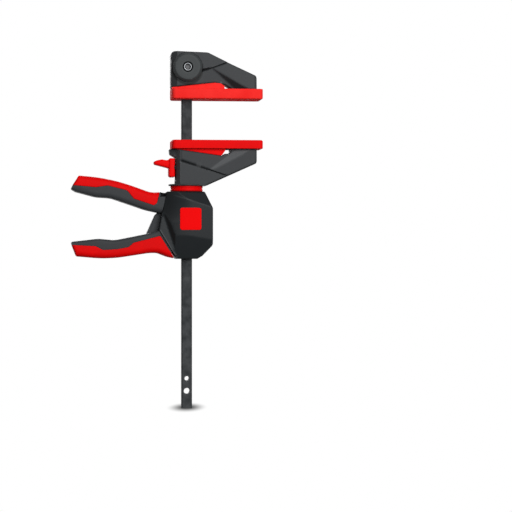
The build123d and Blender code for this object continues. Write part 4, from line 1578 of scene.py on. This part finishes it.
# ---------------------------------------------------------------- grip
@dataclass
class Housing:
    """The two halves of the grip housing, with their badges."""

    half: float = 19.0
    cheek: float = 14.0  # the sunk cheeks beside the trigger
    brow: Line = Line((-18.3, -1.3), (22.2, -13.7))  # places are counted from the housing's top
    brow_fall: float = 0.55
    chin: Line = Line((-9.0, -36.4), (20.2, -41.4))
    chin_fall: float = 0.36
    flank: Line = Line((-20.2, -21.0), (-10.4, -50.6))
    flank_rise: float = 1.1
    ledge: Line = Line((-22.1, -20.2), (-15.3, -22.1))
    ledge_rise: float = 1.6
    crease: float = 0.25  # half width of the soft creases
    brink_crease: float = 0.45  # and of the one between face and flank
    edge: Line = Line((-24.3, -32.9), (-10.7, -55.0))  # the outline beside the trigger
    crown_x: float = 4.0
    crown_fall: Span = (0.003, 0.012)  # beside the cheek, and near the top
    crown_span: Span = (-26.0, -10.0)  # heights between which the one turns into the other
    palm_grime: float = 0.45  # painted shade on the face, darker towards the handles
    # Painted shade on the flank and along the edge by the trigger, then painted highlights on the brow and
    # on the cheek.
    flank_grime: float = 0.95
    edge_grime: float = 0.7
    brow_rub: float = 0.25
    cheek_rub: float = 0.16
    screws: tuple[Place, ...] = ((16.42, -11.2), (16.42, -46.6), (-16.42, -8.6))
    screw_seat: float = 14.5  # depth where the screws' heads sit
    side_inset: float = 1.35  # the outline's side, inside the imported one
    foot_drop: float = 0.5  # the outline's foot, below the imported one
    collar_gap: float = 0.2
    cavity_half: float = 12.5
    slot: Place = (-9.9, -20.2)  # right end and roof of the trigger's slot
    neck_way: float = 9.08
    badge_gap: float = 0.1
    badge_depth: float = 1.0  # of the pocket that it lies in
    parting_gap: float = 0.04  # from the middle to each half

    def __post_init__(self) -> None:
        """Reads the places that the housing is counted from."""
        box = Extent.of("housing_front")
        self.top = Extent.of("swivel_collar").bottom - self.collar_gap
        self.right, self.bottom = box.right - self.side_inset, box.bottom - self.foot_drop

    def outline(self) -> Outline:
        """The housing seen from the front.

        Returns:
            Its outline.
        """
        top, bottom, right = self.top, self.bottom, self.right
        return Outline([
            (-18.3, top, 1.5), (14.8, top, 2.0), (right, top - 14.2, 3.0), (right, top - 45.9, 4.0),
            (12.6, bottom + 2.5, 1.0), (8.4, bottom, 0.6), (-9.6, bottom, 0.6),
            (-10.7, bottom + 2.7, 0.6, 0.6), (-24.3, top - 32.9, 1.2, 0.6),
            (-21.9, top - 19.4, 1.0, 0.6), (-19.0, top - 5.3, 1.0),
        ], rim=1.5)

    def height(self, x: np.ndarray, z: np.ndarray) -> np.ndarray:
        """Height of the front and rear faces.

        Args:
            x: Places along X.
            z: Heights up the bar.

        Returns:
            How far the face stands out from the clamp's middle.
        """
        up = z - self.top
        cheek = higher(self.cheek + self.flank_rise * -self.flank.beyond(x, up), self.cheek, self.crease)
        cheek = higher(cheek, self.cheek - self.ledge_rise * self.ledge.beyond(x, up), self.crease)
        return lower(self._face(x, up), cheek, self.brink_crease)

    def _face(self, x: np.ndarray, up: np.ndarray) -> np.ndarray:
        """Height of the crowned face between brow and chin.

        Args:
            x: Places along X.
            up: Heights above the housing's top.

        Returns:
            The height for each place.
        """
        beside, above = self.crown_fall
        fall = beside + (above - beside) * ramp(up, *self.crown_span)
        face = self.half - fall * np.clip(self.crown_x - x, 0, None) ** 2
        face = lower(face, self.half - self.brow_fall * -self.brow.beyond(x, up), self.crease)
        return lower(face, self.half - self.chin_fall * self.chin.beyond(x, up), self.crease)

    def _brink(self) -> list[tuple[float, float]]:
        """Points where the flank comes up to the face.

        Returns:
            Their places, along the flank.
        """
        (x0, z0), (x1, z1) = self.flank.start, self.flank.end
        length = math.dist((x0, z0), (x1, z1))
        out = (-(z1 - z0) / length, (x1 - x0) / length)
        points = []
        for share in np.linspace(0.0, 1.05, 9):
            reach = np.linspace(0, 12, 600)
            x = x0 + share * (x1 - x0) + out[0] * reach
            up = z0 + share * (z1 - z0) + out[1] * reach
            met = int(np.argmax(self.cheek + self.flank_rise * reach >= self._face(x, up)))
            points.append((float(x[met]), float(up[met])))
        return points

    def grime(self, x: np.ndarray, z: np.ndarray) -> np.ndarray:
        """How much painted shade the face near the handles, the flank and the edge beside the trigger take.

        Args:
            x: Places along X.
            z: Heights up the bar.

        Returns:
            0 to 1 for each place.
        """
        up = z - self.top
        risen = -self.flank.beyond(x, up)
        left = self._face(x, up) - self.cheek - self.flank_rise * risen
        flank = ramp(risen, 0.0, 0.7) * ramp(left, 0.0, 0.7) * (up < -19.5)
        edge = near(self.edge.beyond(x, up) - 1.5, 0.5, 1.2) * (up < self.edge.start[1])
        handle_side_shade = self.palm_grime * ramp(x, -7.0, -16.0) * ramp(left, 0.0, -1.5)
        return np.maximum(handle_side_shade, np.maximum(self.flank_grime * flank, self.edge_grime * edge))

    def rub(self, x: np.ndarray, z: np.ndarray) -> np.ndarray:
        """How much painted highlight the brow, the cheek and the edge beside the trigger take.

        Args:
            x: Places along X.
            z: Heights up the bar.

        Returns:
            0 to 1 for each place.
        """
        up = z - self.top
        brow = near(self.brow.beyond(x, up), 0.8) * ramp(x, -13.0, -8.0) * ramp(x, 8.0, 2.0)
        edge = (np.abs(self.edge.beyond(x, up)) < 0.75) & (up < self.edge.start[1])
        cheek = ramp(self.flank.beyond(x, up), 0.0, 0.7) * (up < self.ledge.end[1])
        return np.maximum(np.maximum(self.brow_rub * brow, self.cheek_rub * cheek), edge)

    def creases(self) -> list[Line]:
        """The lines that the mesh follows."""
        lines = [self.brow, self.chin, self.flank, *chain(self._brink()), self.ledge]
        return [line.lifted(self.top) for line in lines]

    def build(self) -> None:
        """Makes both halves and both badges."""
        self._half(Side.FRONT)
        replace(self, crown_fall=(0.0, 0.0), chin_fall=0.26)._half(Side.REAR)
        for side in Side:
            self._badge(side)

    def _half(self, side: Side) -> None:
        """One half of the housing.

        Args:
            side: Where it is.
        """
        gap = self.parting_gap
        relief = Relief(self.outline(), self.height, flat(gap), 0.25, creases=self.creases(), grid=0.8)
        if side is Side.REAR:
            relief = replace(relief, height=flat(-gap), base=lambda x, z: -self.height(x, z), base_rim=1.5)
        node = side.node("housing")
        shell = relief.build(node + "_moulding")
        self._hollow(shell)
        badge, gap = Extent.of("badge_front"), self.badge_gap
        wide, tall = (badge.left - gap, badge.right + gap), (badge.bottom - gap, badge.top + gap)
        depth = side.span(self.half - self.badge_depth, PAST + CLEAR)
        carve(shell, slab("pocket", rectangle(wide, tall, 2.0), depth))
        if side is Side.REAR:
            for x, up in self.screws:
                bore(shell, SCREW_WAY, (-PAST - CLEAR, -self.screw_seat), (x, self.top + up))
        seat(shell, "grip", "housing_plastic", Finish.HOUSING, node, sharp=62.0)
        # Painted shade and painted highlights on the half.
        mark(shell, Mark.GRIME, self.grime)
        mark(shell, Mark.RUB, self.rub)

    def _hollow(self, shell: bpy.types.Object) -> None:
        """Cuts the room for the drive, the trigger's slot and the ways of the bar and the neck.

        Args:
            shell: One half of the housing.
        """
        room = (-self.cavity_half, self.cavity_half)
        top, bottom = self.top, self.bottom
        corners = [
            (-16.3, top - 4.0, 0), (13.2, top - 4.0, 0), (19.2, top - 15.2, 0), (19.2, top - 44.6, 0),
            (11.2, bottom + 2.7, 0), (-11.0, bottom + 2.7, 0), (-21.8, top - 33.0, 0),
            (-19.5, top - 19.0, 0),
        ]
        carve(shell, slab("room", corners, room, grid=40))
        slot_x, slot_up = self.slot
        carve(shell, block("slot", (-60, slot_x), room, (bottom - CLEAR, top + slot_up)))
        bore(shell, SWING_WAY, (bottom - CLEAR, bottom + 5))
        bore(shell, self.neck_way, (top - 6, top + CLEAR))

    def _badge(self, side: Side) -> None:
        """A plain enamelled badge.

        Args:
            side: Where it is.
        """
        node = side.node("badge")
        box = Extent.of(node)
        corners = rectangle((box.left, box.right), (box.bottom, box.top), 1.9)
        rims = (0.0, 0.25)[::side.value]
        badge = slab(node + "_enamel", corners, (-box.rear, -box.front), rims, 2.5)
        seat(badge, "grip", "badge_red", Finish.BADGE, node)


@dataclass
class Handle:
    """A handle core with a soft skin on its outer side.

    Places are counted from the handle's tip and from the housing's top.
    """

    core_half: float
    skin_half: float
    crest: Sequence[Corner]  # along the skin, from the tip to the root
    parting: Sequence[Corner]  # between skin and core, from the tip to the root
    belly: Sequence[Corner]  # along the core, from the root to the tip
    skin_rim: float = 4.6
    core_rim: float = 3.6
    edge: float = 0.6  # rim of the skin where it meets the core
    tip_rim: float = 2.4  # of the skin's edge at the tip

    def _moved(self, corners: Sequence[Corner], tip: Place, rim: float) -> list[Corner]:
        """Corners in the clamp's own place, each with a rim."""
        return [(x + tip[0], z + tip[1], radius, own[0] if own else rim) for x, z, radius, *own in corners]

    def skin(self, name: str, tip: Place) -> bpy.types.Object:
        """Makes the soft skin.

        Args:
            name: The object's name.
            tip: The tip's place along X, and the height of the housing's top.

        Returns:
            The new object.
        """
        crest = self._moved(self.crest, tip, self.skin_rim)
        parting = self._moved(self.parting, tip, self.edge)
        crest[-1] = (*crest[-1][:3], self.edge)
        parting[0] = (*parting[0][:3], self.tip_rim)
        outline = Outline([*crest, *reversed(parting[1:]), parting[0]], rim=self.edge)
        return Relief(outline, flat(self.skin_half), grid=1.6, rim_steps=6).build(name)

    def core(self, name: str, tip: Place) -> bpy.types.Object:
        """Makes the hard core.

        Args:
            name: The object's name.
            tip: The tip's place along X, and the height of the housing's top.

        Returns:
            The new object.
        """
        corners = self._moved(self.parting, tip, 0.2) + self._moved(self.belly, tip, self.core_rim)
        return Relief(Outline(corners, rim=0.4), flat(self.core_half), grid=1.6, rim_steps=6).build(name)


@dataclass
class Grip:
    """The pump grip: its housing, and the handle above the trigger."""

    housing: Housing = field(default_factory=Housing)
    tip_reach: float = 0.4  # the handle's tip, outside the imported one
    screw: tuple[float, float, float] = (-60.4, -0.9, 8.8)  # place along X, up and depth of its seat
    web_way: float = 4.5  # half width of the slot for the trigger's web
    web_roof: float = 13.5  # of that slot, below the housing's top
    notch: Span = (-23.0, -18.6)  # the corner where the handle meets the housing, painted with shade
    notch_depth: float = 7.0
    handle: Handle = field(default_factory=lambda: Handle(
        core_half=11.8,
        skin_half=12.5,
        crest=(
            (6.8, 13.5, 1.5), (22.4, 12.1, 140.0), (39.1, 8.9, 120.0), (52.2, 4.8, 120.0),
            (69.3, -1.3, 20.0), (75.6, -0.4, 0.6),
        ),
        parting=(
            (1.5, 5.2, 0.3), (21.5, 3.4, 3.0), (31.2, 4.9, 4.0), (47.8, 0.8, 4.0), (53.6, -6.3, 3.0),
            (70.8, -11.9, 1.5), (73.3, -9.9, 1.5),
        ),
        belly=(
            (75.9, -0.5, 0.3, 0.8), (84.7, -2.2, 0, 0.4), (84.7, -18.4, 0), (75.7, -18.4, 1.5),
            (64.0, -15.9, 80.0), (33.9, -5.7, 25.0), (21.5, -5.0, 30.0), (4.0, -0.4, 3.0),
            (0.15, 2.0, 1.2, 2.0),
        ),
    ))

    def build(self) -> None:
        """Makes the grip's pieces."""
        self.housing.build()
        top = self.housing.top
        tip = (Extent.of("housing_front").left - self.tip_reach, top)
        seat(self.handle.skin("upper_grip_rubber", tip), "grip", "red_grip", Finish.GRIP, "upper_grip")
        core = self.handle.core("upper_handle_moulding", tip)
        web_z = (top - 60, top - self.web_roof)
        carve(core, block("web way", (-40, -9), (-self.web_way, self.web_way), web_z))
        left, right = self.notch
        notch = [(left, top + 3, 0), (left, top - 3.6, 0.5), (right, top - 4.4, 0.5), (right, top + 3, 0)]
        for side in reversed(Side):
            carve(core, slab("notch", notch, side.span(self.notch_depth, PAST)))
        screw_x, screw_up, seat_y = self.screw
        bore(core, SCREW_WAY, (-PAST - CLEAR, -seat_y), (screw_x, top + screw_up))
        seat(core, "grip", "housing_plastic", Finish.JAW, "housing_front", "housing_rear")
        # Painted shade in the notch.
        Finish.SHADE.stain(core, lambda at: (
            (left - 0.2) * MM < at.x < (right + 0.2) * MM and at.z > (top - 4.6) * MM
        ))
        Spring("drive_spring", "grip", "trigger_pivot", wire=0.45, turns=4.5, keep=0.58).build()


@dataclass
class Trigger:
    """The lower handle, with the web, hub and fork that it works the drive with."""

    handle: Handle = field(default_factory=lambda: Handle(
        core_half=11.7,
        skin_half=12.1,
        crest=(
            (4.6, -55.6, 2.0), (25.7, -57.4, 100.0), (39.7, -56.8, 100.0), (67.5, -52.5, 50.0),
            (74.0, -52.7, 8.0), (82.0, -55.8, 20.0), (88.2, -57.2, 0.4),
        ),
        parting=(
            (0.8, -45.8, 0.3), (21.1, -46.9, 3.0), (27.0, -50.1, 3.0), (39.7, -49.4, 3.0),
            (49.1, -47.6, 3.0), (53.0, -44.0, 3.0), (76.0, -38.0, 1.5), (86.0, -53.6, 0.5),
        ),
        belly=(
            (86.8, -55.4, 0.4, 0.4), (86.1, -52.0, 0, 0.3), (86.1, -43.2, 0, 0.3), (88.3, -41.5, 0, 0.3),
            (88.3, -32.9, 0, 0.3), (75.1, -33.2, 0.8), (65.2, -36.1, 60.0), (37.1, -41.7, 25.0),
            (23.1, -40.4, 30.0), (0.2, -43.0, 1.4, 1.4),
        ),
        core_rim=2.6,
    ))
    tip_reach: float = 0.85  # the handle's tip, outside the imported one
    pin_way: float = 2.06
    web_half: float = 4.0
    web_radius: float = 23.85
    hub_radius: float = 4.5
    fork_inner: float = 6.8
    fork_thick: float = 3.5
    nose: Place = (8.0, -4.0)

    def build(self) -> None:
        """Makes the trigger and its skin."""
        housing = Housing()
        tip = (Extent.of("trigger").left - self.tip_reach, housing.top)
        skin = self.handle.skin("trigger_grip_rubber", tip)
        seat(skin, "trigger_lever", "red_grip", Finish.GRIP, "trigger_grip")
        core = self.handle.core("trigger_moulding", tip)
        pivot = Extent.of("trigger_pin").middle
        half = self.handle.core_half
        hub = drum(self.hub_radius, (-half, half), Facing.FRONT, pivot)
        for part in (hub, self._web(pivot)):
            carve(core, part, Carving.JOIN)
        for side in Side:
            carve(core, self._prong(pivot, side), Carving.JOIN)
        bore(core, self.pin_way, (-PAST, PAST), pivot)
        bore(core, SWING_WAY, (housing.bottom - CLEAR, housing.top))
        seat(core, "trigger_lever", "housing_plastic", Finish.JAW, "trigger")

    def _web(self, pivot: Place) -> bpy.types.Object:
        """The thin web that closes the housing's slot.

        Args:
            pivot: The trigger pin's place.

        Returns:
            The web.
        """
        x, z = pivot
        arc = on_circle(pivot, self.web_radius, (100, 108, 116, 124))
        corners = [(x, z, 0), *arc, (x - 16.5, z + 17.2, 0), (x - 24.3, z - 0.3, 0)]
        return slab("web", corners, (-self.web_half, self.web_half), (0.5, 0.5), 3.0)

    def _prong(self, pivot: Place, side: Side) -> bpy.types.Object:
        """One prong of the fork, from the hub to its nose on the drive plates.

        Args:
            pivot: The trigger pin's place.
            side: Where the prong is.

        Returns:
            The prong.
        """
        x, z = pivot
        nose_x, nose_z = x + self.nose[0], z + self.nose[1]
        corners = [
            (x - 3.0, z - 3.0, 0), (x + 1.8, z + 3.6, 0), (nose_x + 1.2, nose_z + 2.0, 2.0),
            (nose_x + 2.1, nose_z - 2.15, 1.8), (nose_x - 1.4, nose_z - 2.15, 1.0),
        ]
        span = side.span(self.fork_inner, self.fork_inner + self.fork_thick)
        return slab("prong", corners, span, (0.3, 0.3), 3.0)


# ---------------------------------------------------------------- stage
def place_aimed(name: str, data: bpy.types.ID, place: Vector, ahead: Vector) -> bpy.types.Object:
    """Puts a lamp or a camera in the scene.

    Args:
        name: The object's name.
        data: The lamp's or camera's own settings.
        place: Where it stands, in metres.
        ahead: Which way it looks.

    Returns:
        The new object.
    """
    made = bpy.data.objects.new(name, data)
    made.location = place
    made.rotation_mode = "QUATERNION"
    made.rotation_quaternion = ahead.to_track_quat("-Z", "Y")
    bpy.context.scene.collection.objects.link(made)
    return made


@dataclass
class Lamp:
    """A soft box."""

    name: str
    place: tuple[float, float, float]  # metres from the clamp's middle
    size: tuple[float, float]
    power: float

    def light(self, target: Vector) -> None:
        """Hangs the lamp, aimed at a point.

        Args:
            target: The point, in metres.
        """
        data = bpy.data.lights.new(self.name, "AREA")
        data.shape, data.size, data.size_y, data.energy = "RECTANGLE", *self.size, self.power
        place = target + Vector(self.place)
        place_aimed(self.name, data, place, target - place)


@dataclass
class Stage:
    """The pale floor, the soft light and the camera."""

    distance: float = 1.84
    azimuth: float = 6.3  # degrees that the camera stands towards the handles' side
    scale: float = 0.86  # millimetres of the clamp for each pixel
    frame_pixels: float = 512.0
    bar_pixel: tuple[float, float] = (186.0, 99.6)  # where the origin shows
    plane: float = 9.0  # how far in front of the bar the scale holds
    floor_size: float = 12.0
    contact: tuple[float, float] = (18.5, 66.0)  # half widths of the painted shadow at the bar's foot
    contact_back: float = 10.0  # how far behind the bar its middle is
    contact_depth: float = 0.98
    ambient: float = 0.18
    bounce: float = 0.16  # how much light the floor gives back
    backdrop: Colour = (1.0, 1.0, 1.0, 1.0)
    lamps: tuple[Lamp, ...] = (
        Lamp("front softbox", (0.4, -1.68, 0.5), (0.9, 0.9), 35.0),
        Lamp("rear softbox", (-0.4, 1.7, 0.9), (1.2, 1.2), 26.0),
    )

    def build(self) -> None:
        """Sets up the floor, the world, the lamps and the camera."""
        target = Vector((
            (self.frame_pixels / 2 - self.bar_pixel[0]) * self.scale * MM,
            0.0,
            (self.bar_pixel[1] - self.frame_pixels / 2) * self.scale * MM,
        ))
        turn = math.radians(self.azimuth)
        ahead = Vector((math.sin(turn), math.cos(turn), 0))
        self._floor(turn)
        self._world()
        for lamp in self.lamps:
            lamp.light(target)
        data = bpy.data.cameras.new("camera")
        data.sensor_width = 36.0
        data.lens = data.sensor_width * self.distance / (self.frame_pixels * self.scale * MM)
        stand = target - ahead * (self.distance + self.plane * MM)
        bpy.context.scene.camera = place_aimed("camera", data, stand, ahead)

    def _seen(self, w: Wiring) -> bpy.types.NodeSocket:
        """1 for the rays that look at the background, and 0 for the rays that carry light from it.

        Args:
            w: Adds nodes to the tree that asks.

        Returns:
            The socket with the value.
        """
        path = w.add("ShaderNodeLightPath").outputs
        direct = w.maths("MAXIMUM", path["Is Camera Ray"], path["Is Transmission Ray"])
        return w.maths("MAXIMUM", direct, path["Is Glossy Ray"])

    def _world(self) -> None:
        """White to look at, and a softer grey as light."""
        world = bpy.data.worlds.new("studio")
        w = Wiring.of(world)
        strength = w.spread(self._seen(w), 0.0, 1.0, self.ambient, 1.0)
        sky = w.add("ShaderNodeBackground", {"Color": self.backdrop, "Strength": strength})
        w.add("ShaderNodeOutputWorld", {"Surface": sky.outputs[0]})
        bpy.context.scene.world = world

    def _floor(self, turn: float) -> None:
        """A wide floor under the bar's foot, white but for a soft shadow painted round the foot.

        Args:
            turn: The shadow's turn about the bar, in radians.
        """
        height = Extent.of("bar").bottom
        half = self.floor_size / MM / 2
        floor = block("floor", (-half, half), (-half, half), (height - 10, height))
        material = bpy.data.materials.new("studio floor")
        w = Wiring.of(material)
        plain = w.add("ShaderNodeBsdfDiffuse", {"Color": (self.bounce, self.bounce, self.bounce, 1.0)})
        # The painted shadow: an ellipse round the bar's foot, turned with the camera's azimuth.
        wide, deep = self.contact
        ahead = (self.contact_back * math.sin(turn) * MM, self.contact_back * math.cos(turn) * MM)
        reach = w.add("ShaderNodeMapping", {
            "Vector": w.place(), "Location": (*ahead, height * MM), "Rotation": (0.0, 0.0, -turn),
            "Scale": (wide * MM, deep * MM, 1.0),
        }, vector_type="TEXTURE").outputs[0]
        away = w.add("ShaderNodeVectorMath", {0: reach, 1: reach}, operation="DOT_PRODUCT").outputs["Value"]
        shadow = w.maths("POWER", w.spread(away, 0.0, 1.0, 1.0, 0.0), 2.0)
        light = w.maths("SUBTRACT", 1.0, w.maths("MULTIPLY", shadow, self.contact_depth))
        shown = w.add("ShaderNodeEmission", {"Color": self.backdrop, "Strength": light})
        mixed = w.add("ShaderNodeMixShader", {0: self._seen(w), 1: plain.outputs[0], 2: shown.outputs[0]})
        w.add("ShaderNodeOutputMaterial", {"Surface": mixed.outputs[0]})
        floor.data.materials.append(material)


def main() -> None:
    """Builds the clamp's looks round its frame, and logs each piece."""
    logging.basicConfig(level=logging.INFO, format="%(name)s: %(message)s")
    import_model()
    bpy.context.scene.view_settings.view_transform = "Standard"
    dress_nodes()
    for assembly in (FixedJaw(), SlidingJaw(), Grip(), Trigger()):
        assembly.build()
    Stage().build()


if __name__ == "__main__":
    main()
